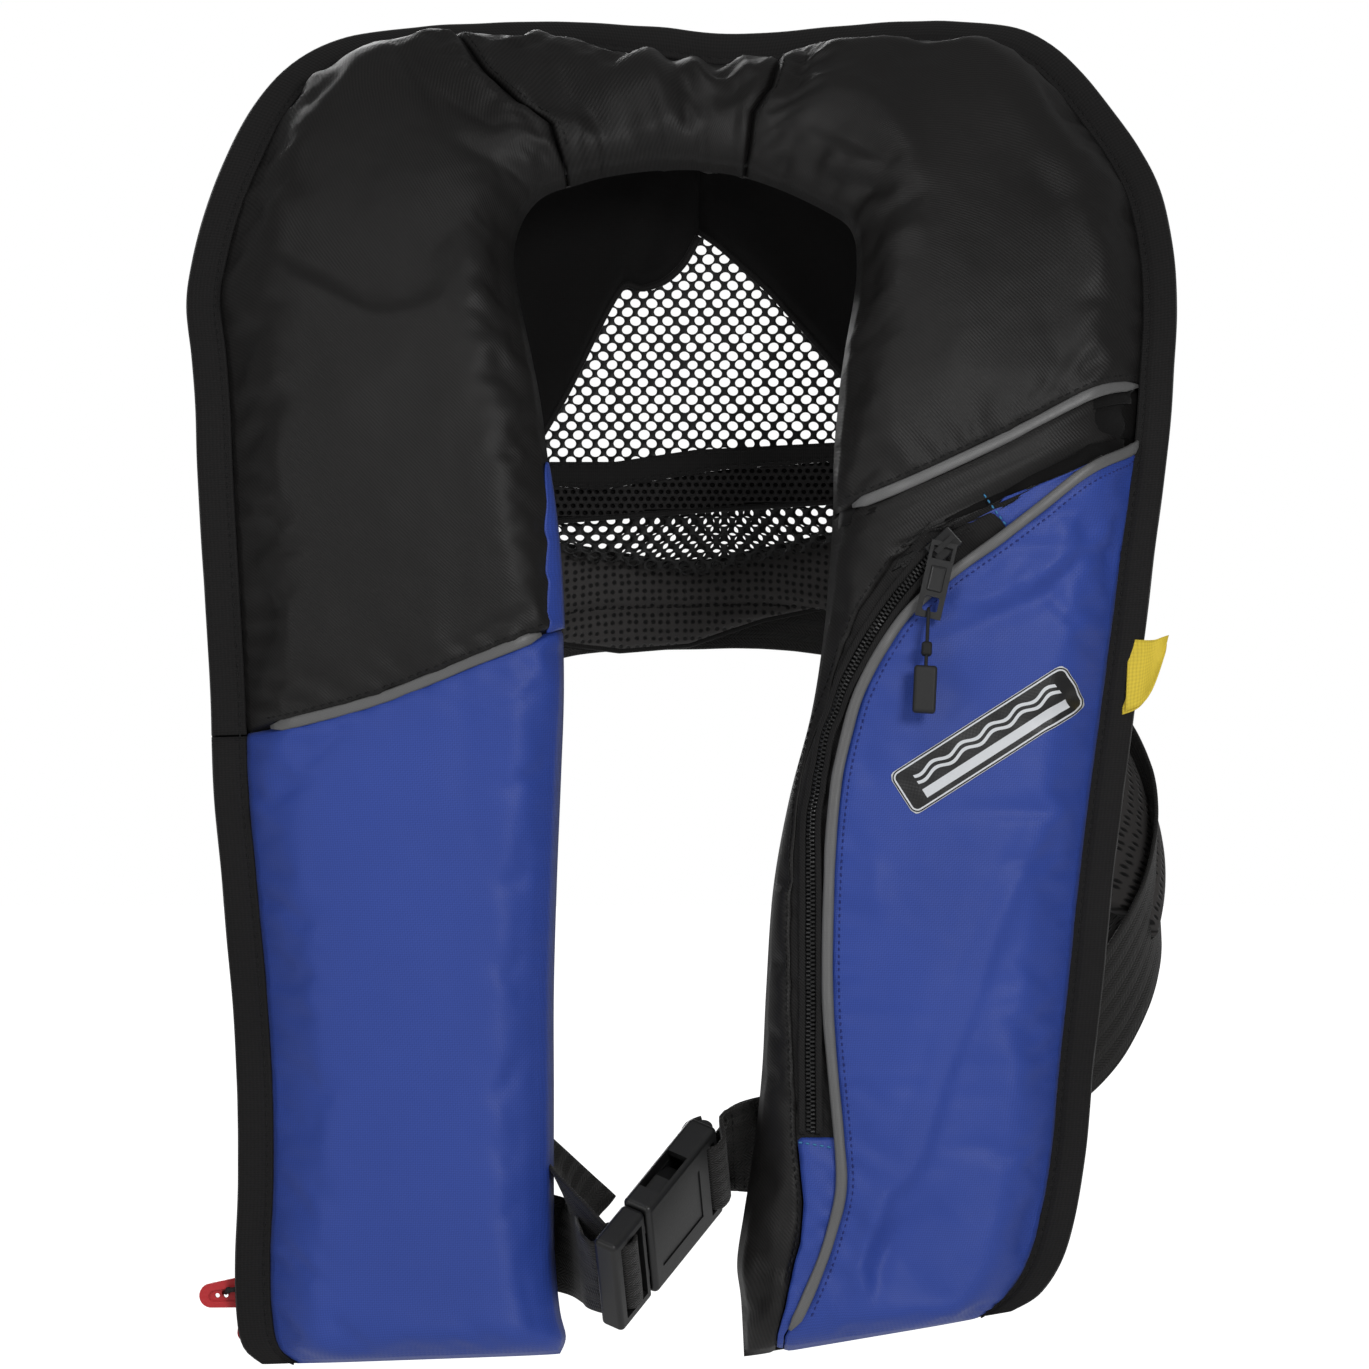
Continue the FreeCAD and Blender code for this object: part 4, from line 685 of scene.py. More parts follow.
def plain(name, colour, rough=0.45, spec=0.4, metallic=0.0, grain=500.0, bump=0.08, wear=0.0,
          worn=None, subsurface=0.0, brushed=None):
    """Solid material: grain sets its noise scale, worn is its colour on sharp edges and
    brushed stretches its bump noise along the axes."""
    m = Shader(name)
    place = m.object_place()
    fine = m.noise(grain, 4.0, Vector=place)
    broad = m.noise(40.0, 4.0, Vector=place)
    light = tuple(min(1.0, v * 1.25 + 0.003) for v in colour)
    base = m.mix(broad * 0.5, colour, light)
    if wear:
        edge = m.node("ShaderNodeNewGeometry", output="Pointiness")
        base = m.mix(m.map_range(edge, (0.52, 0.6), (0.0, wear)) * broad, base, worn)
    if brushed:
        stretched = m.node("ShaderNodeMapping", {"Vector": place, "Scale": brushed})
        normal = m.bump(m.noise(300.0, 3.0, Vector=stretched), strength=0.15, distance=0.0002)
    else:
        normal = m.bump(fine, bump, distance=0.0003)
    if subsurface:
        m.finish(Subsurface_Weight=subsurface, Subsurface_Radius=(0.004, 0.002, 0.001))
    return m.finish(Base_Color=base, Metallic=metallic, Specular_IOR_Level=spec,
                    Roughness=fine * 0.18 + (rough - 0.09), Normal=normal)


# ---------------------------------------------------------------- materials
BLACK = weave("nylon_black", high=(0.0125, 0.0116, 0.0112), low=(0.0055, 0.0051, 0.0050),
              pitch=1.0, kind="twill", rough=0.50, sheen=0.0, spec=0.30, bump=0.30)
BLUE = weave("polyester_blue", high=(0.031, 0.074, 0.39), low=(0.018, 0.045, 0.25), pitch=0.9,
             kind="plain", rough=0.50, sheen=0.03, spec=0.38, bump=0.25, mottle=0.05)
BINDING = weave("binding_tape", high=(0.014, 0.013, 0.013), low=(0.005, 0.005, 0.005),
                pitch=0.9, kind="rib", rough=0.75, sheen=0.12, spec=0.2, bump=0.5)
WEBBING = weave("webbing_black", high=(0.017, 0.016, 0.015), low=(0.003, 0.003, 0.003),
                pitch=1.5, kind="herring", rough=0.62, sheen=0.12, spec=0.35, bump=0.9)
LINING = weave("lining_black", high=(0.0085, 0.008, 0.008), low=(0.005, 0.005, 0.005),
               pitch=0.7, kind="plain", rough=0.85, sheen=0.12, spec=0.12, bump=0.2)
ZIP_TAPE = weave("zip_tape_black", high=(0.017, 0.016, 0.016), low=(0.006, 0.006, 0.006),
                 pitch=0.9, kind="twill", rough=0.7, sheen=0.1, spec=0.2, bump=0.5)
SILVER = weave("reflective_tape", high=(0.145, 0.145, 0.145), low=(0.10, 0.10, 0.10), pitch=0.6,
               kind="plain", rough=0.42, sheen=0.0, spec=0.5, bump=0.12, mottle=0.1)
YELLOW = weave("ribbon_yellow", high=(0.86, 0.66, 0.06), low=(0.66, 0.48, 0.04), pitch=0.8,
               kind="rib", rough=0.6, sheen=0.1, spec=0.3, bump=0.3, mottle=0.05)
CELL = weave("cell_yellow", high=(0.80, 0.60, 0.03), low=(0.70, 0.50, 0.02), pitch=0.7,
             kind="plain", rough=0.42, sheen=0.0, spec=0.5, bump=0.15, mottle=0.08)
MESH = plain("mesh_thread", (0.010, 0.010, 0.010), rough=0.55, grain=1500.0, bump=0.4)
SPACER = plain("spacer_mesh", (0.016, 0.015, 0.015), rough=0.7, spec=0.25, grain=1500.0,
               bump=0.5)
THREAD_LOOK = dict(rough=0.6, spec=0.3, grain=2500.0, bump=0.5)
THREAD = plain("thread_black", (0.006, 0.006, 0.006), **THREAD_LOOK)
THREAD_BLUE = plain("thread_blue", (0.018, 0.030, 0.17), **THREAD_LOOK)
THREAD_LIGHT = plain("thread_light_blue", (0.05, 0.22, 0.42), **THREAD_LOOK)
CORD = plain("cord_black", (0.012, 0.012, 0.012), rough=0.65, spec=0.3, grain=1800.0, bump=0.6)
ACETAL = plain("acetal_black", (0.0065, 0.0065, 0.0068), rough=0.40, spec=0.5, grain=1400.0,
               bump=0.10, wear=0.12, worn=(0.04, 0.04, 0.04))
ENAMEL = plain("enamel_black", (0.008, 0.008, 0.0085), rough=0.36, grain=700.0, bump=0.06,
               wear=0.15, worn=(0.07, 0.07, 0.065))
PVC = plain("soft_pvc_black", (0.016, 0.016, 0.016), rough=0.55, spec=0.35, grain=900.0,
            bump=0.12)
RED = plain("soft_red", (0.52, 0.022, 0.028), rough=0.38, spec=0.5, grain=700.0, bump=0.06,
            subsurface=0.08)
RUBBER = plain("rubber_black", (0.018, 0.018, 0.018), rough=0.6, spec=0.3, grain=900.0,
               bump=0.15)
STEEL = plain("zinc_steel", (0.50, 0.50, 0.50), rough=0.32, spec=0.5, metallic=1.0,
              brushed=(1, 1, 8))
NICKEL = plain("nickel_nut", (0.62, 0.58, 0.50), rough=0.3, metallic=1.0)
GREEN = plain("indicator_green", (0.02, 0.36, 0.07), rough=0.35, spec=0.5)
YELLOW_PLASTIC = plain("moulded_yellow", (0.80, 0.60, 0.03), rough=0.4, spec=0.5)
HOOK = plain("hook_and_loop", (0.009, 0.009, 0.009), rough=0.95, spec=0.1, grain=1200.0,
             bump=1.0)


# ---------------------------------------------------------------- relief of the covers
GRID_ROWS, GRID_COLS, GRID_END = 300, 27, 0.3    # relief grid, and how far it stops from the feet
GRID_AT = station_at(np.linspace(GRID_END, TOTAL_LENGTH - GRID_END, GRID_ROWS))
GRID_SHARE = np.linspace(0, 1, GRID_COLS)
SIM_FRAMES = 20


def smooth_front(at, share):
    inset = inset_of(at, share)
    return casing_point(at, inset, np.maximum(swell(at, inset, PUFF_FRONT), 0.15))


def smooth_back(at, share):
    inset = inset_of(at, share)
    return casing_point(at, inset, -np.maximum(swell(at, inset, PUFF_BACK), 0.15))


def seam_distance(at, share):
    """Distance along the horseshoe to the nearest cross seam of the front cover."""
    nearest = np.full(np.broadcast(at, share).shape, 1e9)
    for seam in (seam_right, neck_right, neck_left, seam_left):
        seam_at = seam(inset_of(at, share) / width(at))
        nearest = np.minimum(nearest, np.abs(length_to(at) - length_to(seam_at)))
    return nearest


def cloth_relief(name, shape, side, seams, grow, cap):
    """Lets a cover swell and wrinkle as cloth held at its edges and seams.

    Gives the displacement along the normal on the relief grid, held within cap.
    """
    at, share = np.meshgrid(GRID_AT, GRID_SHARE, indexing="ij")
    grid = shape(at, share)
    normals = grid_normals(grid)
    if (normals[..., 1] * side).mean() > 0:
        normals = -normals
    n, m = grid.shape[:2]
    index = np.arange(n * m).reshape(n, m)
    faces = quads(index[:-1, :-1], index[1:, :-1], index[1:, 1:], index[:-1, 1:])
    points = grid.reshape(-1, 3)
    a, b, c = faces[len(faces) // 2][:3]
    turn = np.cross(points[b] - points[a], points[c] - points[b])
    if turn @ normals.reshape(-1, 3)[a] < 0:
        faces = faces[:, ::-1]
    obj = new_mesh(name, points, faces, None)

    pinned = np.zeros((n, m), dtype=bool)
    pinned[[0, -1]] = True
    pinned[:, [0, -1]] = True
    if seams:
        pinned |= seam_distance(at, share) < 3.2
        from_pocket = np.abs(inset_of(at, share) / width(at) - pocket_line(at)) * width(at)
        pinned |= (from_pocket < 3.0) & (at > AT_POCKET)
    group = obj.vertex_groups.new(name="pin")
    group.add(np.nonzero(pinned.ravel())[0].tolist(), 1.0, "REPLACE")

    modifier = obj.modifiers.new("cloth", "CLOTH")
    cloth = modifier.settings
    cloth.quality = 6
    cloth.mass = 0.25
    cloth.tension_stiffness = cloth.compression_stiffness = 12
    cloth.shear_stiffness = 4
    cloth.bending_stiffness = 0.35
    cloth.tension_damping = cloth.compression_damping = 12
    cloth.bending_damping = 1.0
    cloth.vertex_group_mass = "pin"
    cloth.use_pressure = True
    cloth.uniform_pressure_force = 3.0
    cloth.shrink_min = -grow
    cloth.effector_weights.gravity = 0.0
    modifier.collision_settings.use_collision = False
    modifier.point_cache.frame_start = 1
    modifier.point_cache.frame_end = SIM_FRAMES
    scene = bpy.context.scene
    for number in range(1, SIM_FRAMES + 1):
        scene.frame_set(number)
    evaluated = obj.evaluated_get(bpy.context.evaluated_depsgraph_get())
    moved = np.empty(n * m * 3)
    evaluated.data.vertices.foreach_get("co", moved)
    moved = moved.reshape(n, m, 3) / MM + ORIGIN
    scene.frame_set(1)
    shift = ((moved - grid) * normals).sum(-1)
    shift = np.where(np.isfinite(shift), shift, 0.0)
    bpy.data.objects.remove(obj, do_unlink=True)
    return cap * np.tanh(shift / cap)


FRONT_GRID = cloth_relief("sim_front", smooth_front, 1.0, seams=True, grow=0.035, cap=3.2)
BACK_GRID = cloth_relief("sim_back", smooth_back, -1.0, seams=False, grow=0.03, cap=2.4)


def cubic_weights(f):
    return (-0.5 * f + f * f - 0.5 * f ** 3, 1 - 2.5 * f * f + 1.5 * f ** 3,
            0.5 * f + 2 * f * f - 1.5 * f ** 3, -0.5 * f * f + 0.5 * f ** 3)


def grid_sample(grid, at, share):
    """Cubic sample of a relief grid."""
    a = (length_to(at) - GRID_END) / (TOTAL_LENGTH - 2 * GRID_END) * (GRID_ROWS - 1)
    b = share * (GRID_COLS - 1)
    a, b = np.clip(a, 0, GRID_ROWS - 1.001), np.clip(b, 0, GRID_COLS - 1.001)
    i, j = a.astype(int), b.astype(int)
    along, across = cubic_weights(a - i), cubic_weights(b - j)
    total = 0.0
    for p in range(4):
        for q in range(4):
            total = total + along[p] * across[q] * grid[np.clip(i + p - 1, 0, GRID_ROWS - 1),
                                                        np.clip(j + q - 1, 0, GRID_COLS - 1)]
    return total


def fold_height(x, z):
    height = np.zeros(x.shape)
    for path, peak, left, right in FOLDS:
        points = spline(path, 8)
        reach = 3 * max(left, right)
        low, high = points.min(0) - reach, points.max(0) + reach
        near = (x > low[0]) & (x < high[0]) & (z > low[1]) & (z < high[1])
        if not near.any():
            continue
        query = np.stack([x[near], z[near]], -1)
        distance = np.full(len(query), 1e9)
        side = np.zeros(len(query))
        along = np.zeros(len(query))
        for i in range(len(points) - 1):
            start = points[i]
            leg = points[i + 1] - start
            t = np.clip(((query - start) @ leg) / (leg @ leg), 0, 1)
            d = np.hypot(*(query - (start + t[:, None] * leg)).T)
            turn = np.sign(leg[0] * (query[:, 1] - start[1]) - leg[1] * (query[:, 0] - start[0]))
            closer = d < distance
            distance[closer] = d[closer]
            side[closer] = turn[closer]
            along[closer] = ((i + t) / (len(points) - 1))[closer]
        half = np.where(side > 0, left, right)
        taper = np.sin(np.pi * np.clip(along * 0.92 + 0.04, 0, 1)) ** 0.6
        height[near] += peak * taper * np.exp(-(distance / half) ** 1.7)
    return height


def front_relief(at, share):
    """Height above the smooth front cover."""
    at, share = np.broadcast_arrays(floats(at), floats(share))
    wide = width(at)
    inset = inset_of(at, share)
    x, z = elevation(at, inset)
    s = length_to(at)
    black = (at < seam_left(inset / wide)) & (at > seam_right(inset / wide))
    height = grid_sample(FRONT_GRID, at, share) * np.where(black, 1.0, 0.75)
    edge_fade = np.clip(share / 0.06, 0, 1) * np.clip((1 - share) / 0.05, 0, 1)
    height = height + (fold_height(x, z) * np.clip(share / 0.04, 0, 1)
                       * np.clip((1 - share) / 0.08, 0, 1))
    # puckers that run in from the binding
    wander = 5 * smooth_noise(s / 17.0, 3.3, 11)
    wave = np.sin(2 * np.pi * (s + wander) / (21.0 + 5 * smooth_noise(s / 60.0, 0, 12)))
    strength = 0.75 * (0.55 + 0.45 * smooth_noise(s / 38.0, 1.7, 13))
    height = height + (strength * wave * np.exp(-(np.maximum(inset - BIND, 0) / 7.5) ** 1.2)
                       * np.clip((inset - BIND) / 1.6, 0, 1))
    # puckers at the inner edge
    wave = np.sin(2 * np.pi * (s + 4 * smooth_noise(s / 13.0, 9.1, 14)) / 17.0)
    height = height + (np.where(black, 0.9, 0.45) * wave
                       * np.exp(-((1 - share) * (wide - BIND) / 11.0) ** 1.4)
                       * np.clip((1 - share) * 14, 0, 1))
    # cross seams: a valley with short puckers on each side
    seam = seam_distance(at, share)
    height = height - 1.1 * np.exp(-(seam / 1.7) ** 2) * edge_fade
    wave = np.sin(2 * np.pi * (inset + 3 * smooth_noise(inset / 9.0, s / 40.0, 15)) / 13.0)
    height = height + (0.42 * wave * np.exp(-(seam / 9.0) ** 1.5)
                       * np.clip(seam / 2.0, 0, 1) * edge_fade)
    # small crumples
    height = height + 0.16 * smooth_noise(s / 5.5, inset / 5.5, 16) * edge_fade
    height = height + (np.where(black, 0.45, 0.25)
                       * smooth_noise(s / 19.0, inset / 15.0, 17) * edge_fade)
    return np.minimum(height, 5.5) * np.clip(np.minimum(s, TOTAL_LENGTH - s) / 8.0, 0, 1)


def back_relief(at, share):
    at, share = np.broadcast_arrays(floats(at), floats(share))
    noise = 0.3 * smooth_noise(length_to(at) / 14.0, share * 8.0, 21)
    return (np.maximum(-2.0, grid_sample(BACK_GRID, at, share) + noise)
            * np.clip(share / 0.05, 0, 1) * np.clip((1 - share) / 0.08, 0, 1))


# A cover: its smooth shape, its relief and the side it faces
FRONT = (smooth_front, front_relief, 1.0)
BACK = (smooth_back, back_relief, -1.0)


def cover_point(at, share, lift=0.0, cover=FRONT):
    """Points and outward normals on a finished cover."""
    shape, relief, side = cover
    at, share = np.broadcast_arrays(floats(at), floats(share))
    at0, at1 = np.clip(at - 0.03, 0, LAST), np.clip(at + 0.03, 0, LAST)
    share0, share1 = np.clip(share - 0.006, 0, 1), np.clip(share + 0.006, 0, 1)
    normal = unit(np.cross(shape(at1, share) - shape(at0, share),
                           shape(at, share1) - shape(at, share0)))
    normal = normal * (-1.0 if (normal[..., 1] * side).mean() > 0 else 1.0)
    return shape(at, share) + normal * (relief(at, share) + lift)[..., None], normal


# ---------------------------------------------------------------- cover panels
def fixed(value):
    """A panel limit that stays at one value."""
    return lambda query: value + 0 * floats(query)


def share_of(line):
    """A line that gives part of the width, as share against station."""
    return lambda at: (line(at) * width(at) - BIND) / (width(at) - BIND)


def beside(seam, gap):
    """A cross seam moved along the horseshoe, as station against share."""
    def limit(share):
        part = inset_of(seam(0.5), share) / width(seam(0.5))
        return station_at(length_to(seam(part)) + gap)
    return limit


def cover_panel(name, replaces, material, start, end, outer=fixed(0.0), inner=fixed(1.0),
                tucks=(0, 0, 0, 0), lift=0.0, step=2.2, thick=0.8, cover=FRONT, blend=None):
    """Cloth panel of a cover.

    start and end give stations against share; outer and inner give shares against station.
    tucks says how far the start, end, outer and inner edges turn under.
    """
    middle = (float(start(0.5)) + float(end(0.5))) / 2
    length = float(length_to(end(0.5)) - length_to(start(0.5)))
    rows = max(8, int(length / step))
    reach = (float(inner(middle)) - float(outer(middle))) * (float(width(middle)) - BIND)
    cols = max(6, int(reach / step))
    down = np.linspace(0, 1, rows + 1)[:, None]
    over = np.linspace(0, 1, cols + 1)[None, :]
    share = over + down * 0
    # each pair of limits depends on the other, so they are settled by repetition
    for _ in range(18):
        first, last = length_to(start(share)), length_to(end(share))
        at = station_at(first + (last - first) * down)
        low, high = outer(at), inner(at)
        share = 0.5 * share + 0.5 * (low + (high - low) * over)
    share = low + (high - low) * over
    points, normals = cover_point(at, share, lift, cover)
    clear = width(at) - BIND
    from_edges = (down * length, (1 - down) * length,
                  (share - low) * clear, (high - share) * clear)
    tuck = sum(weight * 0.9 * np.exp(-(np.maximum(distance, 0.0) / 1.2) ** 1.5)
               for weight, distance in zip(tucks, from_edges))
    points = points - normals * tuck[..., None]
    outward = grid_normals(points)
    outward = outward * (-1.0 if (outward * normals).sum(-1).mean() < 0 else 1.0)
    uv = np.stack([length_to(at), inset_of(at, share)], -1)
    attach(solid_grid(name, points, points - outward * thick, material, uv), replaces, blend)


# the four panels between the cross seams
SEAM_GAP, NECK_GAP = 0.3, 0.25
cover_panel("cover_right_lower_blue", "right_lower_panel", BLUE, fixed(0.02),
            beside(seam_right, -SEAM_GAP), tucks=(0, 1, 0, 0), blend=FLAP)
cover_panel("cover_right_shoulder", "right_shoulder_panel", BLACK,
            beside(seam_right, SEAM_GAP), beside(neck_right, -NECK_GAP), tucks=(1, 1, 0, 0))
cover_panel("cover_neck", "neck_panel", BLACK,
            beside(neck_right, NECK_GAP), beside(neck_left, -NECK_GAP), tucks=(1, 1, 0, 0))
cover_panel("cover_left_shoulder", "left_shoulder_panel", BLACK,
            beside(neck_left, NECK_GAP), beside(seam_left, -SEAM_GAP), tucks=(1, 1, 0, 0))

# narrow blue strip that tapers up the inner edge above the right seam
AT_STRIP_TOP = float(locate(-56.0, 361.0, 6, 17)[0])
AT_STRIP_FOOT = float(seam_right(0.985))


def strip_side(at):
    left = np.clip((AT_STRIP_TOP - at) / (AT_STRIP_TOP - AT_STRIP_FOOT), 0, 1)
    return 1.0 - (0.4 + 5.4 * left ** 0.7) / (width(at) - BIND)


cover_panel("side_strip_blue", None, BLUE, beside(seam_right, -0.2), fixed(AT_STRIP_TOP),
            strip_side, tucks=(0, 0, 0.7, 0), lift=0.75, step=1.4)

# left gusset and pocket; the pocket starts where its line leaves the flange
pocket_share, zip_share = share_of(pocket_line), share_of(zip_line)
POCKET_SCAN = np.linspace(AT_POCKET, AT_POCKET + 1.5, 400)
AT_POCKET_TOP = float(POCKET_SCAN[np.argmax(pocket_share(POCKET_SCAN) > 0.012)])


def gusset_side(at):
    beyond = np.where(at < AT_ZIP_TOP, pocket_share(at) + 0.004, zip_share(at) + 0.006)
    return np.where(at < AT_POCKET_TOP, 0.0, beyond)


cover_panel("cover_left_gusset", "left_inner_gusset", BLACK, beside(seam_left, SEAM_GAP),
            fixed(AT_END), gusset_side, tucks=(1, 0, 0.8, 0))
cover_panel("pocket_front_blue", "left_pocket_panel", BLUE, fixed(AT_POCKET_TOP), fixed(AT_END),
            inner=lambda at: np.maximum(pocket_share(at) - 0.006, 0.004), tucks=(0, 0, 0, 1),
            lift=0.5)
for side_name, seam, before in (("neck_right", neck_right, -6), ("neck_left", neck_left, -6),
                                ("left", seam_left, -6), ("right", seam_right, -0.5)):
    cover_panel("seam_allowance_" + side_name, None, LINING, beside(seam, before),
                beside(seam, 6), fixed(0.004), fixed(0.992), lift=-1.5, thick=0.4)

# zip tape, its facings and the backings under it
AT_TAPE_END = locate(50, 92.4, 44, float(LAST))[0]
FACING_HIGH, FACING_LOW = locate(118.0, 346.6, *SPAN_FACING), locate(130.6, 330.6, *SPAN_FACING)
FACING_SHARES = [(inset - BIND) / (float(width(at)) - BIND)
                 for at, inset in (FACING_LOW, FACING_HIGH)]


def facing_edge(share):
    low, high = FACING_SHARES
    return np.interp(floats(share), [low - 0.3, low, high, high + 0.12],
                     [FACING_LOW[0], FACING_LOW[0], FACING_HIGH[0], FACING_HIGH[0] - 1.2])


def upper_facing_side(at):
    zip_part = zip_share(np.maximum(at, AT_ZIP_TOP + 0.02))
    return np.maximum(zip_part, pocket_share(at) + 0.01) + 0.008


cover_panel("zip_facing_upper", "zip_facing_top", BLUE, fixed(AT_ZIP_TOP + 0.02), facing_edge,
            pocket_share, upper_facing_side, tucks=(0, 1, 0, 0), step=1.4, lift=-0.5)
cover_panel("zip_tape_cloth", "zip_tape", ZIP_TAPE, lambda share: facing_edge(share) - 0.12,
            fixed(AT_TAPE_END + 0.12), lambda at: pocket_share(at) - 0.01,
            lambda at: zip_share(at) + 0.012, step=1.4, lift=-1.3)
cover_panel("pocket_top_backing", None, LINING, fixed(AT_ZIP_TOP - 1.2), fixed(AT_ZIP_TOP + 3.0),
            fixed(0.01), fixed(0.62), lift=-2.6, thick=0.4)
cover_panel("zip_backing", None, LINING, fixed(AT_ZIP_TOP + 2.6), fixed(AT_END - 0.05),
            lambda at: pocket_share(at) - 0.03,
            lambda at: np.minimum(zip_share(at) + 0.07, 0.97), lift=-2.6, thick=0.4)
cover_panel("zip_facing_lower", "zip_facing_bottom", BLUE, fixed(AT_TAPE_END),
            fixed(AT_END - 0.1), pocket_share, zip_share, tucks=(1, 0, 0, 1), step=1.4)

cover_panel("cover_back_cloth", "cover_back", BLACK, fixed(0.02), fixed(AT_END), cover=BACK,
            step=3.0)


# ---------------------------------------------------------------- binding and hook tapes
BINDING_COLS = 15
BINDING_STITCH = 11.6    # inset of the stitch row


def binding(name, replaces, start, end, side, blend=None):
    """Folded tape over the flange on one side, with its stitch row."""
    at = stations_every(2.4, start, end)
    s = length_to(at)
    q = np.linspace(0, 1, BINDING_COLS)
    inset = (BIND + 0.3) * q
    top = (3.5 + 0.35 * np.sin(math.pi * np.minimum(1, q * 1.15))
           - 1.4 * (1 - np.minimum(1, q / 0.10)) ** 2
           - 0.75 * np.exp(-((inset - BINDING_STITCH) / 0.9) ** 2)
           - 0.35 * np.maximum(0, (q - 0.86) / 0.14))
    under = [(d, 1.6) for d in inset[::-1]]
    under[-1] = (0.15, 2.0)
    profile = np.concatenate([np.stack([inset, top], -1), under])
    wobble = 0.25 * smooth_noise(s / 9.0, 4.4 if side > 0 else 8.8, 31)
    stray = 0.5 * smooth_noise(s / 28.0, 2.2, 32)
    points = np.zeros((len(at), len(profile), 3))
    for i, (d, height) in enumerate(profile):
        lift = height + (wobble if i < BINDING_COLS else 0)
        points[:, i] = casing_point(at, d + stray * max(1 - d / BIND, 0) * 0.5, side * lift)
    sides, caps = tube_faces(*points.shape[:2])
    faces = flipped(sides + caps) if side > 0 else sides + caps
    uv = np.stack(np.broadcast_arrays(s[:, None], profile[None, :, 0]), -1)
    obj = new_mesh(name, points.reshape(-1, 3), faces, BINDING, uv.reshape(-1, 2))
    attach(obj, replaces, blend)
    row = casing_point(at, BINDING_STITCH, side * (3.05 + wobble))
    outward = (casing_point(at, BINDING_STITCH, side * 5.0)
               - casing_point(at, BINDING_STITCH, side * 2.0))
    stitches("stitch_" + name, row, unit(outward), THREAD, length=2.7, gap=1.3, radius=0.3,
             blend=blend)


binding("binding_front_right", "right_front_binding", 0.06, AT_SEAM_R - 0.01, 1, FLAP)
binding("binding_front_main", "main_front_binding", AT_SEAM_R + 0.01, AT_END, 1)
binding("binding_back", "back_binding", 0.06, AT_END, -1)


def flange_tape(name, replaces, start, end, low, high, seed, blend=None):
    """Hook or loop tape on the flange between two lifts, with a rough pile."""
    at = stations_every(3.0, start, end)[:, None]
    inset = np.linspace(1.2, 12.8, 6)[None, :]
    pile = 0.1 * np.random.default_rng(seed).uniform(0, 1, (len(at), 6))
    top = casing_point(at, inset, high - pile)
    bottom = casing_point(at, inset + 0 * at, low)
    uv = np.stack(np.broadcast_arrays(length_to(at), inset), -1)
    attach(solid_grid(name, top, bottom, HOOK, uv), replaces, blend)


TAPE_NEAR, TAPE_FAR = 0.15, 1.45
flange_tape("hook_tape_right", "right_hook_tape", 3.3, AT_SEAM_R - 0.01, TAPE_NEAR, TAPE_FAR,
            seed=3, blend=FLAP)
flange_tape("hook_tape_main", "main_hook_tape", AT_SEAM_R + 0.01, AT_END - 0.4, TAPE_NEAR,
            TAPE_FAR, seed=4)
flange_tape("loop_tape_back", "loop_tape", 3.3, AT_END - 0.4, -TAPE_FAR, -TAPE_NEAR, seed=5)


# ---------------------------------------------------------------- piping and stitch rows
def on_cover(points, span, lift=0.0, aside=0.0):
    """Front elevation points laid on the front cover, with normals; aside moves a path left."""
    points = floats(points)
    if aside:
        ahead = np.gradient(points, axis=0)
        ahead /= np.maximum(1e-9, np.hypot(*ahead.T))[:, None]
        points = points + aside * np.stack([-ahead[:, 1], ahead[:, 0]], 1)
    found = floats([locate(x, z, *span) for x, z in points.reshape(-1, 2)])
    at, inset = found.reshape(points.shape)[..., 0], found.reshape(points.shape)[..., 1]
    share = np.clip((inset - BIND) / (width(at) - BIND), 0.002, 0.995)
    return cover_point(at, share, lift)


def piping(name, replaces, points, span, wide, thick, lift):
    step = 2.5
    centre, normals = on_cover(resample(spline(points, 12), step), span, lift)
    centre, normals = smooth_rows(centre), unit(smooth_rows(normals))
    row = np.arange(len(centre))
    size = 1 + 0.06 * smooth_noise(row * step / 12.0, 1.1, 41)
    fade = np.clip(np.minimum(row, row[::-1]) / 1.5, 0.35, 1)
    profile = oval(wide, thick, 14, 0.8)[None] * (size * fade)[:, None, None]
    obj = sweep(name, centre, np.cross(tangents(centre), normals), profile, SILVER)
    attach(obj, replaces)


RIGHT_PIPING = [(SEAM_R[0][0] + 16, SEAM_R[0][1] + 3.6),
                *[(x, z + 0.4) for x, z in SEAM_R[1:4]], (-57.0, 292.6)]
LEFT_PIPING = [(66.5, 342.9), *SEAM_L[1:4], (181.5, 391.2)]
POCKET_PIPING = [(182.0, 369.6), *POCKET[1:-1], (42.0, 16.6)]
piping("piping_right", "right_piping", RIGHT_PIPING, SPAN_SEAM_R, wide=4.6, thick=2.0, lift=0.9)
piping("piping_left_upper", "left_upper_piping", LEFT_PIPING, SPAN_SEAM_L, wide=4.6, thick=2.0,
       lift=0.9)
piping("piping_pocket", "pocket_piping", POCKET_PIPING, SPAN_POCKET, wide=4.5, thick=3.2,
       lift=1.5)


def stitch_row(name, points, span, material=THREAD, aside=0.0, lift=0.1, **size):
    centre, normals = on_cover(resample(spline(points, 12), 2.0), span, lift, aside)
    stitches(name, smooth_rows(centre), unit(smooth_rows(normals)), material, **size)


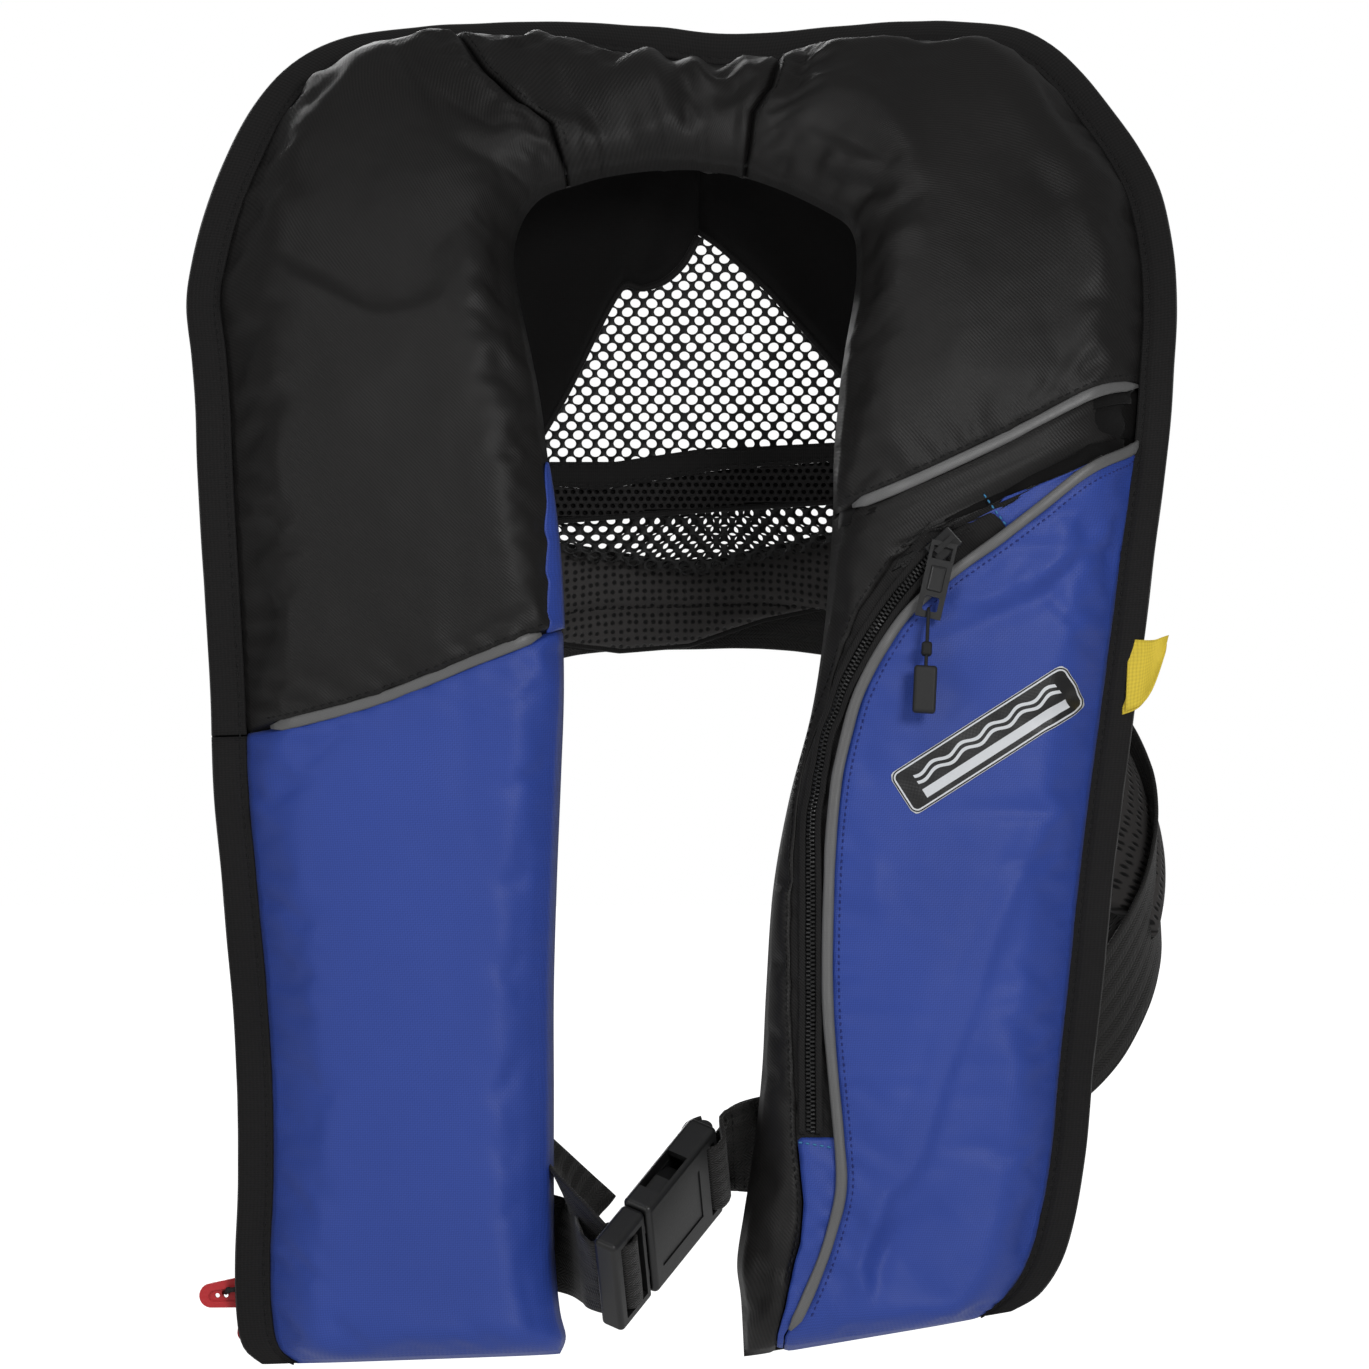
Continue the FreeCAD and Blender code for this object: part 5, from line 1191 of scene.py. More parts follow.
stitch_row("stitch_seam_right", RIGHT_PIPING, SPAN_SEAM_R, aside=3.6, length=2.4, gap=1.4)
stitch_row("stitch_seam_left", LEFT_PIPING, SPAN_SEAM_L, aside=3.6, length=2.4, gap=1.4)
stitch_row("stitch_pocket_edge", POCKET_PIPING[:-1], SPAN_POCKET, THREAD_BLUE, aside=4.6,
           lift=0.55, length=1.6, gap=1.1, radius=0.36)
stitch_row("stitch_neck_right", [(-107, 536.0), *NECK_R[1:-1], (-50.5, 480.0)], SPAN_NECK_R,
           aside=2.4, length=2.6, gap=1.3)
stitch_row("stitch_neck_left", [(42.8, 534.0), *NECK_L[1:-1], (25.8, 483.0)], SPAN_NECK_L,
           aside=2.4, length=2.6, gap=1.3)
stitch_row("stitch_zip_side", ZIP_SIDE[3:15], SPAN_ZIP, aside=-1.9, length=2.2, gap=1.2)
stitch_row("stitch_facing_upper", [(119.6, 346.0), (124.6, 339.6), (130.6, 332.4)],
           SPAN_FACING, THREAD_LIGHT, lift=-0.3, length=1.7, gap=1.1, radius=0.4)
stitch_row("stitch_facing_lower", [(46.4, 90.4), (51.6, 89.6), (57.4, 88.6)],
           (48, LAST), THREAD_LIGHT, lift=0.2, length=1.7, gap=1.1, radius=0.4)

# ---------------------------------------------------------------- zip
ZIP_X, ZIP_Z, ZIP_RADIUS = 216.6, 206.4, 166.4    # centre and radius of its upper curve
ZIP_PITCH = 1.7
# Corners of one tooth: along the zip, across it, out of it
TOOTH = floats([
    (-0.55, -0.25, -0.45), (0.55, -0.25, -0.45), (0.55, 2.05, -0.45), (-0.55, 2.05, -0.45),
    (-0.38, -0.15, 0.75), (0.38, -0.15, 0.75), (0.45, 1.75, 0.55), (-0.45, 1.75, 0.55)])
TOOTH_FACES = [(0, 3, 2, 1), (4, 5, 6, 7), (0, 1, 5, 4), (1, 2, 6, 5), (2, 3, 7, 6),
               (3, 0, 4, 7)]


def zip_path():
    """A curve over the top, then straight down."""
    angle = np.radians(np.linspace(48.5, 0, 120))
    curve = np.stack([ZIP_X - ZIP_RADIUS * np.cos(angle), ZIP_Z + ZIP_RADIUS * np.sin(angle)], 1)
    straight = np.stack([np.full(60, ZIP_X - ZIP_RADIUS), np.linspace(205.0, 94.0, 60)], 1)
    return resample(np.concatenate([curve, straight]), ZIP_PITCH)


def zip_teeth(centre, normals, ahead, side):
    points, faces = [], []
    for i in range(1, len(centre) - 1):
        for row, hand in enumerate((1, -1)):
            tooth = TOOTH * (1, hand, 1) + (ZIP_PITCH / 2 * row, 0, 0)
            first = len(points) * len(TOOTH)
            points.append(centre[i] + tooth[:, :1] * ahead[i] + tooth[:, 1:2] * side[i]
                          + tooth[:, 2:] * normals[i])
            block = TOOTH_FACES if hand > 0 else flipped(TOOTH_FACES)
            faces += [tuple(q + first for q in face) for face in block]
    coil = plain("zip_coil_black", (0.012, 0.012, 0.012), rough=0.35, spec=0.5, grain=900.0)
    obj = new_mesh("zip_teeth", np.concatenate(points), faces, coil, smooth=False)
    bevel = obj.modifiers.new("round", "BEVEL")
    bevel.width = 0.00022
    bevel.segments = 1
    attach(obj, "zip_coil")


zip_centre, zip_normals = on_cover(zip_path(), SPAN_ZIP, -0.1)
zip_centre, zip_normals = smooth_rows(zip_centre, 6), unit(smooth_rows(zip_normals, 6))
zip_ahead = tangents(zip_centre)
zip_across = np.cross(zip_ahead, zip_normals)
zip_teeth(zip_centre, zip_normals, zip_ahead, zip_across)
for side_name, hand in (("outer", 1), ("inner", -1)):     # lips of tape beside the teeth
    lip = zip_centre + zip_across * hand * 3.4 + zip_normals * 0.15
    attach(sweep("zip_guard_" + side_name, lip, zip_across, strap_profile(2.6, 0.9, 5),
                 ZIP_TAPE))


def pocket_lining():
    """Sheet inside the pocket, under the front cover."""
    at = np.linspace(45, 52, 60)[:, None]
    inset = 24 + (0.80 * width(at) - 24) * np.linspace(0, 1, 24)[None, :]
    height = swell(at, inset, PUFF_FRONT)
    uv = np.stack(np.broadcast_arrays(length_to(at), inset), -1)
    attach(solid_grid("pocket_lining_cloth", casing_point(at, inset, height - 4.6),
                      casing_point(at, inset, height - 5.1), LINING, uv), "pocket_lining")


pocket_lining()


# ---------------------------------------------------------------- printed patch
def printed_film():
    """Black film with a white rim, a frame line, two wave lines and a bar; metres."""
    m = Shader("printed_film")
    x, y = m.split(m.uv())

    def band(value, low, high):
        return (value > low) * (value < high)

    # distance from the core of the rounded rectangle
    beyond_x = larger(abs(x) - 0.0375, 0.0)
    beyond_y = larger(abs(y) - 0.0060, 0.0)
    reach = calc("SQRT", beyond_x * beyond_x + beyond_y * beyond_y)
    frame_strength = 1.0
    frame_line = band(reach, 0.00225, 0.00290) * frame_strength
    rim = reach > 0.00345
    inside = reach < 0.0020
    wave_length, wave_height, half_line = 0.0135, 0.0009, 0.000675
    lines = []
    for level in (0.0040, 0.0012):
        wave = sine(x * (2 * math.pi / wave_length)) * wave_height
        lines.append(abs(y - wave - level) < half_line)
    waves = larger(*lines) * band(x, -0.033, 0.034)
    bar = band(y, -0.0062, -0.0024) * band(x, -0.033, 0.034)
    white = larger(larger(frame_line, rim), larger(waves, bar) * inside)
    fine = m.noise(500.0, 3.0, Vector=m.object_place())
    thread = math.pi / 0.0009
    return m.finish(
        Base_Color=m.mix(white, (0.012, 0.012, 0.013), (0.72, 0.74, 0.77)),
        Roughness=fine * 0.12 + 0.36, Specular_IOR_Level=0.4,
        Normal=m.bump(sine(x * thread) * sine(y * thread), strength=0.15, distance=0.00015))


def patch():
    """Rounded rectangle on the pocket, its grid squeezed into the corners."""
    centre_x, centre_z, tilt = 120.8, 250.6, math.radians(32.6)
    half_length, half_height, corner = 41.2, 9.7, 2.6
    a = np.linspace(-1, 1, 84)[:, None] * half_length
    into_corner = np.clip((np.abs(a) - (half_length - corner)) / corner, 0, 1)
    limit = half_height - corner + corner * np.sqrt(np.maximum(0.0, 1 - into_corner ** 2))
    b = np.linspace(-1, 1, 22)[None, :] * limit
    a = a + 0 * b
    x = centre_x + a * math.cos(tilt) - b * math.sin(tilt)
    z = centre_z + a * math.sin(tilt) + b * math.cos(tilt)
    top, normals = on_cover(np.stack([x, z], -1), (40, 50), 0.95)
    attach(solid_grid("patch_blank", top, top - normals * 0.28, printed_film(),
                      np.stack([a, b], -1)), "printed_patch")


patch()

# ---------------------------------------------------------------- belt
# The buckle's own directions: along the belt, across its width, and out of its face
BUCKLE_ALONG = unit(floats((0.5329078149213383, 0.5639024533126356, 0.6308908653196331)))
BUCKLE_WIDE = unit(floats((0.06268865719778204, 0.7172219108271011, -0.6940193533960424)))
BUCKLE_OUT = unit(floats((0.8438479679743879, -0.4093980383166396, -0.3468628737238733)))
BUCKLE_ORIGIN = floats((-30.583404781932195, -31.992195679192786, 33.39625525653431))
BELT_WIDTH, BELT_THICK, BELT_STEP = 38, 1.7, 2.2


def buckle_row(along, out):
    return (*(BUCKLE_ORIGIN + BUCKLE_ALONG * along + BUCKLE_OUT * out), *BUCKLE_WIDE)


# Belt round the body from the buckle's fixed end: centre x, y, z, then width direction
BELT = floats([
    buckle_row(81.2, -5.8), (15.4, 17.4, 84.4, 0.04, 0.58, -0.81),
    (31.0, 18.4, 88.0, 0, 0.12, -1), (60.0, 17.4, 93.0, 0, 0, -1),
    (100.0, 19.6, 100.0, 0.05, 0, -1), (140.0, 24.0, 114.0, 0.12, 0, -1),
    (170.0, 38.0, 140.0, 0.2, 0.15, -1), (190.0, 68.0, 180.0, 0.1, 0.3, -1),
    (188.0, 106.0, 222.0, -0.05, 0.3, -1), (160.0, 139.0, 262.0, -0.1, 0.2, -1),
    (110.0, 159.0, 291.0, -0.05, 0.1, -1), (50.0, 169.0, 305.0, 0, 0.05, -1),
    (0.0, 171.0, 306.0, 0, 0.05, -1), (-50.0, 169.0, 303.0, 0, 0.05, -1),
    (-105.0, 158.0, 286.0, 0.05, 0.1, -1), (-145.0, 130.0, 250.0, 0.1, 0.2, -1),
    (-163.0, 94.0, 205.0, 0, 0.3, -1), (-160.0, 58.0, 158.0, -0.1, 0.3, -1),
    (-140.0, 33.0, 112.0, -0.12, 0.15, -1), (-110.0, 21.0, 78.0, -0.05, 0, -1),
    (-75.0, 17.0, 56.0, 0, 0, -1), (-52.0, 16.6, 48.0, 0, 0.02, -1),
    (-39.0, 15.0, 45.0, 0, 0.02, -1)])


def belt_part(start, end, count):
    return catmull_rom(BELT, np.linspace(start, end, count))


def strap(name, rows, replaces=None, blend=None):
    """Webbing through rows of centre and width direction, slightly uneven."""
    rows = resample(spline(rows, 14), BELT_STEP)
    s = np.arange(len(rows)) * BELT_STEP
    flat = strap_profile(BELT_WIDTH, BELT_THICK, 13)
    profile = np.repeat(flat[None], len(rows), 0)
    profile[..., 1] += 0.10 * smooth_noise(s[:, None] / 7.0, flat[None, :, 0] / 7.0, 52)
    profile[..., 0] *= (1 + 0.008 * smooth_noise(s / 11.0, 0, 53))[:, None]
    attach(sweep(name, rows[:, :3], unit(rows[:, 3:]), profile, WEBBING), replaces, blend)


strap("belt_main", belt_part(0.0, 18.0, 90), "belt_webbing")
# The last stretch and its turn round the buckle's bar are one piece.
# Loops are given as places along and out of the buckle.
BAR_LOOP = [(4.6, -7.4), (6.5, -4.4), (7.3, 0.0), (8.0, 3.6), (10.2, 5.6), (13.4, 5.7),
            (15.8, 4.4), (16.9, 1.0), (17.2, -3.4), (15.6, -7.6), (13.6, -9.4)]
strap("belt_adjusting_run", [
    *belt_part(18.0, 21.0, 16),
    (-45.5, 10.5, 45.4, 0.03, 0.25, -0.96), (-42.2, -1.0, 43.4, 0.06, 0.40, -0.91),
    (-39.6, -14.0, 41.0, 0.06, 0.56, -0.83),
    *[buckle_row(*row) for row in BAR_LOOP]], "male_webbing", BELT_RUN)
strap("belt_tail_end", [
    buckle_row(14.2, -9.0),
    (-35.5, -16.0, 50.0, 0.08, 0.66, -0.75), (-41.2, -7.5, 56.0, 0.18, 0.54, -0.82),
    (-46.0, 3.0, 64.0, 0.32, 0.34, -0.88), (-45.0, 12.0, 72.0, 0.42, 0.14, -0.89),
    (-41.0, 17.5, 79.0, 0.46, 0.05, -0.89)], "belt_tail", BELT_TAIL)
# at the fixed end the webbing goes round the slot bar and is sewn back on itself
SLOT_LOOP = [(79.8, 5.4), (76.0, 8.0), (71.3, 8.0), (69.0, 6.2), (68.7, 1.6), (68.7, -2.6),
             (69.0, -6.6), (71.6, -8.5), (76.5, -8.7), (81.2, -5.8)]
strap("belt_fixed_loop", [
    (31.0, 16.0, 87.8, 0, 0.12, -1), (23.0, 15.4, 86.2, 0.02, 0.32, -0.94),
    (15.8, 14.8, 85.0, 0.04, 0.58, -0.81), *[buckle_row(*row) for row in SLOT_LOOP]])
for i, t in enumerate((1.35, 1.62)):
    row = catmull_rom(BELT, [t])[0]
    line = row[:3] + np.linspace(-16.5, 16.5, 14)[:, None] * unit(row[3:]) + (0, -2.95, 0)
    stitches("stitch_belt_%d" % i, line, np.tile([0, -1, 0], (14, 1)), THREAD, length=2.2,
             gap=1.0, radius=0.34)


def belt_guide(name, replaces, start, end):
    """Flat sleeve beside the belt, on the side where the replaced part lies."""
    rows = belt_part(start, end, 30)
    centre, wide = rows[:, :3], unit(rows[:, 3:])
    normals = unit(np.cross(tangents(centre), wide))
    corners = [floats(corner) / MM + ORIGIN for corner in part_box(replaces)]
    middle_y = np.mean(corners, axis=0)[1]
    path = min((centre - normals * 1.9, centre + normals * 1.9),
               key=lambda points: abs(points[15][1] - middle_y))
    attach(sweep(name, path, wide, strap_profile(46, 1.2, 9), BINDING), replaces)


belt_guide("belt_guide_left", "left_belt_guide", 3.0, 4.25)
belt_guide("belt_guide_right", "right_belt_guide", 18.95, 20.3)

# ---------------------------------------------------------------- lumbar pad
# Across the back the pad runs between these heights, z against x
PAD_X = np.array([-130.0, -90.0, -52.0, -27.0, 2.0, 32.0, 62.0, 95.0, 130.0])
PAD_TOP = np.array([292.0, 318.0, 330.4, 326.2, 321.6, 328.0, 334.4, 322.0, 296.0])
PAD_BOTTOM = np.array([250.0, 280.0, 290.4, 287.2, 289.6, 300.0, 306.0, 290.0, 262.0])
PAD_LIFT = 1.6        # gap from the belt's middle to the pad's underside
PAD_GROOVE = 0.05     # quilted line, as a part of the lower half


def pad_knit():
    """Knitted face with small dark holes."""
    m = Shader("pad_knit")
    uv = m.uv()
    cells = m.node("ShaderNodeTexVoronoi", {"Vector": uv, "Scale": 300.0, "Randomness": 0.25},
                   voronoi_dimensions="2D", feature="F1")
    thread = m.map_range(cells, (0.18, 0.34), (0.0, 1.0))
    grain = m.bump(m.noise(2500.0, Vector=uv), strength=0.3, distance=0.0002)
    return m.finish(Base_Color=m.mix(thread, (0.002, 0.002, 0.002), (0.046, 0.043, 0.042)),
                    Roughness=0.75, Specular_IOR_Level=0.25, Sheen_Weight=0.15,
                    Normal=m.bump(thread, strength=0.9, distance=0.0006, Normal=grain))


def lumbar_pad():
    step = 2.6
    belt = spline(BELT, 40)
    rows = resample(belt[belt[:, 1] > 62.0], step)
    centre, wide = rows[:, :3], unit(rows[:, 3:])
    x, y, z = centre.T
    normals = unit(np.cross(tangents(centre), wide))
    last = len(rows) - 1
    part = np.arange(last + 1) / last
    fade = np.clip(np.minimum(part, 1 - part) / 0.16, 0, 1)
    back = np.clip((y - 120) / 25.0, 0, 1)
    up = 20.0 * (1 - back) + (np.interp(x, PAD_X, PAD_TOP) - z) * back
    down = 20.0 * (1 - back) + (z - np.interp(x, PAD_X, PAD_BOTTOM)) * back
    # the pad widens at the wearer's left side
    wing = np.clip((x - 150) / 22.0, 0, 1) * np.clip((150 - y) / 30.0, 0, 1)
    up, down = up + 17.0 * wing, down + 26.0 * wing
    up, down = 16.0 + (up - 16.0) * fade, 16.0 + (down - 16.0) * fade
    up, down, wing = up[:, None], down[:, None], wing[:, None]
    q = np.linspace(-1, 1, 41)[None, :]
    s = (np.arange(last + 1) * step)[:, None]
    across = np.where(q < 0, q * up, q * down)
    thick = 1.0 + 5.4 * np.sqrt(np.maximum(0, 1 - np.abs(q) ** 2.6))
    thick = thick - 2.4 * np.exp(-((across - PAD_GROOVE * down) / 2.6) ** 2)
    thick = thick + 0.5 * smooth_noise(s / 15.0, across / 12.0, 61)
    thick = thick + 0.25 * smooth_noise(s / 6.0, across / 6.0, 62)
    thick = np.maximum(thick, 0.6) * (1.0 + 0.5 * wing)
    sheet = centre[:, None] + wide[:, None] * across[..., None]
    sheet[..., 0] += wing * (6.0 - 30.0 * np.abs(q) ** 1.6)
    top = sheet + normals[:, None] * (PAD_LIFT + thick)[..., None]
    bottom = sheet + normals[:, None] * PAD_LIFT
    uv = np.stack(np.broadcast_arrays(s, across), -1)
    attach(solid_grid("lumbar_pad_cloth", top, bottom, pad_knit(), uv), "lumbar_pad")
    inner = slice(8, last - 8)
    groove = np.argmin(np.abs(q[0] - PAD_GROOVE))
    stitches("stitch_pad_0", top[inner, groove], normals[inner], THREAD, length=2.6, gap=1.4,
             radius=0.34)
    for i, column in enumerate((-1, 0)):
        attach(sweep("pad_binding_%d" % i, bottom[2:-2, column], wide[2:-2],
                     oval(3.4, 3.6, 12), BINDING))


lumbar_pad()

# ---------------------------------------------------------------- back panel
# Edges of the collar lining as seen from the eye, x and z on the plane y = 0
LINING_LEFT = [(-104, 318), (-84, 336), (-66, 358), (-54.6, 376), (-46, 391), (-38, 408),
               (-30, 424), (-23.8, 433.6), (-17.8, 430), (-7.8, 433), (0, 440), (6, 452)]
LINING_RIGHT = [(-20, 470), (-6, 462), (2.2, 456), (14, 448), (34, 430), (50, 412), (64, 396),
                (78, 374), (94, 348), (112, 328)]


def back_y(x, z):
    """Surface of the back panel."""
    k = np.clip((512.0 - z) / 212.0, 0.0, 1.0)
    return 101.8 + 56.0 * k ** 0.75 + (1 - k) * wrap(x) - k * 8.0 * (x / 120.0) ** 2


def deepen(points):
    """Points as seen from the eye, carried back to the back panel."""
    points = floats(points)
    x, z = points.T
    for _ in range(3):
        spread = (back_y(x, z) - EYE_Y) / -EYE_Y
        x, z = points[:, 0] * spread, EYE_Z + (points[:, 1] - EYE_Z) * spread
    return np.stack([x, z], 1)


def seen_curve(points):
    deep = deepen(points)
    return lambda x: np.interp(x, deep[:, 0], deep[:, 1])


arch_left, arch_right = seen_curve(LINING_LEFT), seen_curve(LINING_RIGHT)
ARCH_CHANGE = deepen([(3, 446)])[0, 0]


def arch(x):
    return np.where(x < ARCH_CHANGE, arch_left(x), arch_right(x))


def perforated(name, x0, x1, low, high, off, pitch, hole, thick, material, seed, tilt, rim,
               replaces=None, hexed=False):
    """Open mesh of staggered cells, each an oval hole with rounded yarn round it.

    low and high give z against x; pitch and hole are x and z sizes; off is along y.
    """
    random = np.random.default_rng(seed)
    angle = np.radians(-135 + 22.5 * np.arange(16))
    circle = np.stack([np.cos(angle), np.sin(angle)], 1)
    point = 0.16 if hexed else 0.0       # how far the cells reach into the next row
    outline = [(-.5, point - .5), (0, -.5 - point), (.5, point - .5), (.5, 0),
               (.5, .5 - point), (0, .5 + point), (-.5, .5 - point), (-.5, 0)]
    pitch_x, pitch_z = pitch
    limit = floats([pitch_x / 2 * 0.985, pitch_z * (0.5 + point) * 0.985])
    points, faces, shared = [], [], {}

    def vertex(place, depth, key=None):
        """Index of a new point, or of the one that already has this key."""
        if key in shared:
            return shared[key]
        points.append((place[0], float(back_y(*floats(place))) + off + depth, place[1]))
        if key is not None:
            shared[key] = len(points) - 1
        return len(points) - 1

    scan = np.linspace(x0, x1, 60)
    z_min, z_max = float(np.min(low(scan))), float(np.max(high(scan)))
    for row in range(int((z_max - z_min) / pitch_z) + 1):
        for col in range(int((x1 - x0) / pitch_x) + 1):
            x = x0 + (col + 0.5 + 0.5 * (row % 2)) * pitch_x
            z = z_min + (row + 0.5) * pitch_z
            if (z - pitch_z / 2 < float(low(x)) - 0.3 * pitch_z
                    or z + pitch_z / 2 > float(high(x)) + 0.5 * pitch_z
                    or x + pitch_x / 2 > x1):
                continue
            turn = tilt * (1 if row % 2 else -1) + random.normal(0, 0.05)
            jitter = (random.normal(0, 0.03 * pitch_x), random.normal(0, 0.02 * pitch_z))
            size = 1 + random.normal(0, 0.04)
            half = floats(hole) / 2 * size
            rotate = floats([[math.cos(turn), math.sin(turn)],
                             [-math.sin(turn), math.cos(turn)]])
            inside = np.clip((circle * half) @ rotate, -limit * 0.93, limit * 0.93)
            inside = inside + (x + jitter[0], z + jitter[1])
            around = np.clip((circle * (half + rim)) @ rotate, -limit, limit) + (x, z)
            wall = [vertex(p, 0.0) for p in inside]
            near = [vertex(p, -thick / 2) for p in around]
            far = [vertex(p, thick / 2) for p in around]
            near_edge, far_edge = [], []
            for edge_x, edge_z in outline:
                place = (x + edge_x * pitch_x, z + edge_z * pitch_z)
                key = (int(round(place[0] * 40)), int(round(place[1] * 40)))
                near_edge.append(vertex(place, -thick * 0.30, key + (0,)))
                far_edge.append(vertex(place, thick * 0.30, key + (1,)))
            for k in range(8):
                k1, j, j1, j2 = (k + 1) % 8, 2 * k, 2 * k + 1, (2 * k + 2) % 16
                faces.append([near_edge[k], near_edge[k1], near[j2], near[j1], near[j]])
                faces.append([far_edge[k1], far_edge[k], far[j], far[j1], far[j2]])
            for j in range(16):
                j1 = (j + 1) % 16
                faces.append([near[j], near[j1], wall[j1], wall[j]])
                faces.append([wall[j], wall[j1], far[j1], far[j]])
    attach(new_mesh(name, floats(points), faces, material), replaces)


def net_foot(x):
    return np.interp(x, PAD_X, PAD_TOP) - 3.0


perforated("back_mesh_net", -104, 112, net_foot, lambda x: arch(x) + 6.0, off=2.9,
           pitch=(6.7, 3.6), hole=(4.4, 3.7), thick=0.8, material=MESH, seed=71, tilt=0.22,
           rim=0.3, replaces="back_mesh", hexed=True)
perforated("back_mesh_fold", -100, 108, net_foot, lambda x: 352.0 + 0.05 * x, off=6.2,
           pitch=(6.3, 3.4), hole=(3.7, 3.0), thick=0.8, material=MESH, seed=72, tilt=-0.25,
           rim=0.35, hexed=True)

# Band across the back panel: three edges as seen from the eye
band_top = seen_curve([(-104, 362), (-54.6, 361.6), (-28, 361.6), (3.8, 366.4), (57.4, 369.2),
                       (112, 372)])
band_middle = seen_curve([(-104, 353), (-53.8, 352), (-33.8, 350.4), (14.6, 358.4),
                          (57.4, 361.6), (112, 364)])
band_bottom = seen_curve([(-104, 337), (-50.6, 338), (14.6, 342.8), (59.4, 345.6), (112, 348)])
BAND_X = np.arange(-104.0, 113.0, 2.0)
BAND_WAVE, BAND_SEED = 0.35, 81


def back_sheet(name, low, high, count, off, thick, material, wave, seed, replaces=None):
    bottom, top = low(BAND_X)[:, None], high(BAND_X)[:, None]
    z = bottom + (top - bottom) * np.linspace(0, 1, count)[None, :]
    x = BAND_X[:, None] + 0 * z
    y = back_y(x, z) + off + wave * smooth_noise(x / 17.0, z / 17.0, seed)
    attach(solid_grid(name, np.stack([x, y - thick, z], -1), np.stack([x, y, z], -1), material,
                      np.stack([x, z], -1)), replaces)


back_sheet("back_band_tape", band_middle, band_top, 9, off=-2.0, thick=1.2, material=BINDING,
           wave=BAND_WAVE, seed=BAND_SEED, replaces="back_band")
perforated("back_band_spacer", -104, 112, band_bottom, lambda x: band_middle(x) + 1.0, off=-1.6,
           pitch=(3.3, 2.9), hole=(1.9, 1.7), thick=1.5, material=SPACER, seed=82, tilt=0.0,
           rim=0.3)
back_sheet("back_band_backing", lambda x: band_bottom(x) + 0.6, band_middle, 7, off=-0.2,
           thick=0.4, material=LINING, wave=0.1, seed=83)
BAND_FOOT = band_bottom(BAND_X)
attach(sweep("back_band_edge", np.stack([BAND_X, back_y(BAND_X, BAND_FOOT) - 1.4, BAND_FOOT], 1),
             np.tile([0, 0, 1], (len(BAND_X), 1)), oval(2.4, 2.8, 10), BINDING))
for i, z in enumerate((band_middle(BAND_X) + 1.6, band_top(BAND_X) - 1.5)):
    wave = BAND_WAVE * smooth_noise(BAND_X / 17.0, z / 17.0, BAND_SEED)
    line = np.stack([BAND_X, back_y(BAND_X, z) - 3.3 + wave, z], 1)
    stitches("stitch_band_%d" % i, line, np.tile([0, -1, -0.2], (len(BAND_X), 1)), THREAD,
             length=2.4, gap=1.4, radius=0.3)

# Hanging folds of the collar lining: lower end x, z, upper end x, z, half width, height
LINING_FOLDS = [(-62, 372, -28, 470, 13, 3.0), (-38, 404, -14, 478, 8, 2.6),
                (-14, 432, 4, 480, 7, 3.2), (70, 392, 24, 468, 10, 2.6),
                (44, 418, 12, 470, 8, 2.2)]


def gathers(x, z):
    depth = 0.0
    for x0, z0, x1, z1, half, height in LINING_FOLDS:
        dx, dz = x1 - x0, z1 - z0
        t = np.clip(((x - x0) * dx + (z - z0) * dz) / math.hypot(dx, dz) ** 2, 0, 1)
        distance = np.hypot(x - x0 - t * dx, z - z0 - t * dz)
        depth = depth - height * np.exp(-(distance / half) ** 2)
    return depth + 0.8 * smooth_noise(x / 22.0, z / 26.0, 91)


def collar_lining(name, outline, first, last, off, replaces=None, curl=0.0):
    """Lining above an outline, between two seen points; curl brings its lip forward at x = 0."""
    start, end = deepen([first])[0, 0], deepen([last])[0, 0]
    column = np.arange(start, end + 0.1, 1.6)[:, None]
    lip = seen_curve(outline)(column)
    rise = np.linspace(0, 1, 46)[None, :] ** 1.25
    z = lip + (509.0 - 0.0006 * column ** 2 - lip) * rise
    above = z - lip
    spread = 0.22 * np.maximum(0.0, (z - 380) / 110.0)
    x = column + column * spread * np.clip(above / 60.0, 0, 1)
    y = back_y(x, z) + off + gathers(x, z) * np.clip(above / 6.0, 0.25, 1)
    y = y - curl * np.exp(-(column / 16.0) ** 2) * np.exp(-above / 14.0)
    face = np.stack([x, y, z], -1)
    attach(solid_grid(name, face, face + (0, 1.0, 0), LINING, np.stack([x, z], -1)), replaces)
    edge = face[:, 0] + (0, 0.3, 0.4)
    wide = np.cross(tangents(edge), (0.0, 1.0, 0.0))
    attach(sweep(name + "_edge", smooth_rows(edge, 3), wide, oval(3.0, 2.4, 12), BINDING))


collar_lining("collar_lining_left", LINING_LEFT, (-104, 318), (5.5, 451), off=0.0,
              replaces="collar_lining", curl=7.0)
collar_lining("collar_lining_right", LINING_RIGHT, (-16, 468), (110, 330), off=2.2)


# ---------------------------------------------------------------- service tag
def service_tag():
    """Folded ribbon caught in the left edge, with a second layer under it."""
    lower = spline([(176.5, 5.0, 262.0), (182.5, 3.5, 264.5), (186.5, 2.0, 269.5),
                    (189.8, 2.5, 277.5), (192.4, 5.5, 285.5)], 6)
    upper = spline([(178.0, 8.0, 290.8), (184.8, 6.5, 290.4), (188.6, 5.5, 290.6),
                    (191.6, 6.5, 291.6), (194.2, 9.0, 292.4)], 6)
    rows, under_rows = len(lower), 19
    q = np.linspace(0, 1, 13)[None, :]
    face = lower[:, None] * (1 - q[..., None]) + upper[:, None] * q[..., None]
    face[..., 1] += 1.1 * np.sin(np.linspace(0, 2.6, rows))[:, None] * np.sin(np.pi * q)
    normals = grid_normals(face)
    normals = normals * (-1.0 if normals[..., 1].mean() > 0 else 1.0)
    uv = np.stack(np.broadcast_arrays(np.linspace(0, 16, rows)[:, None], 24 * q), -1)
    drop = normals * 0.35
    attach(solid_grid("service_tag_ribbon", face, face - drop, YELLOW, uv), "service_tag")
    under = (face + (-1.2, 1.6, -1.5))[:under_rows]
    attach(solid_grid("service_tag_under", under, under - drop[:under_rows], YELLOW,
                      uv[:under_rows]))


service_tag()


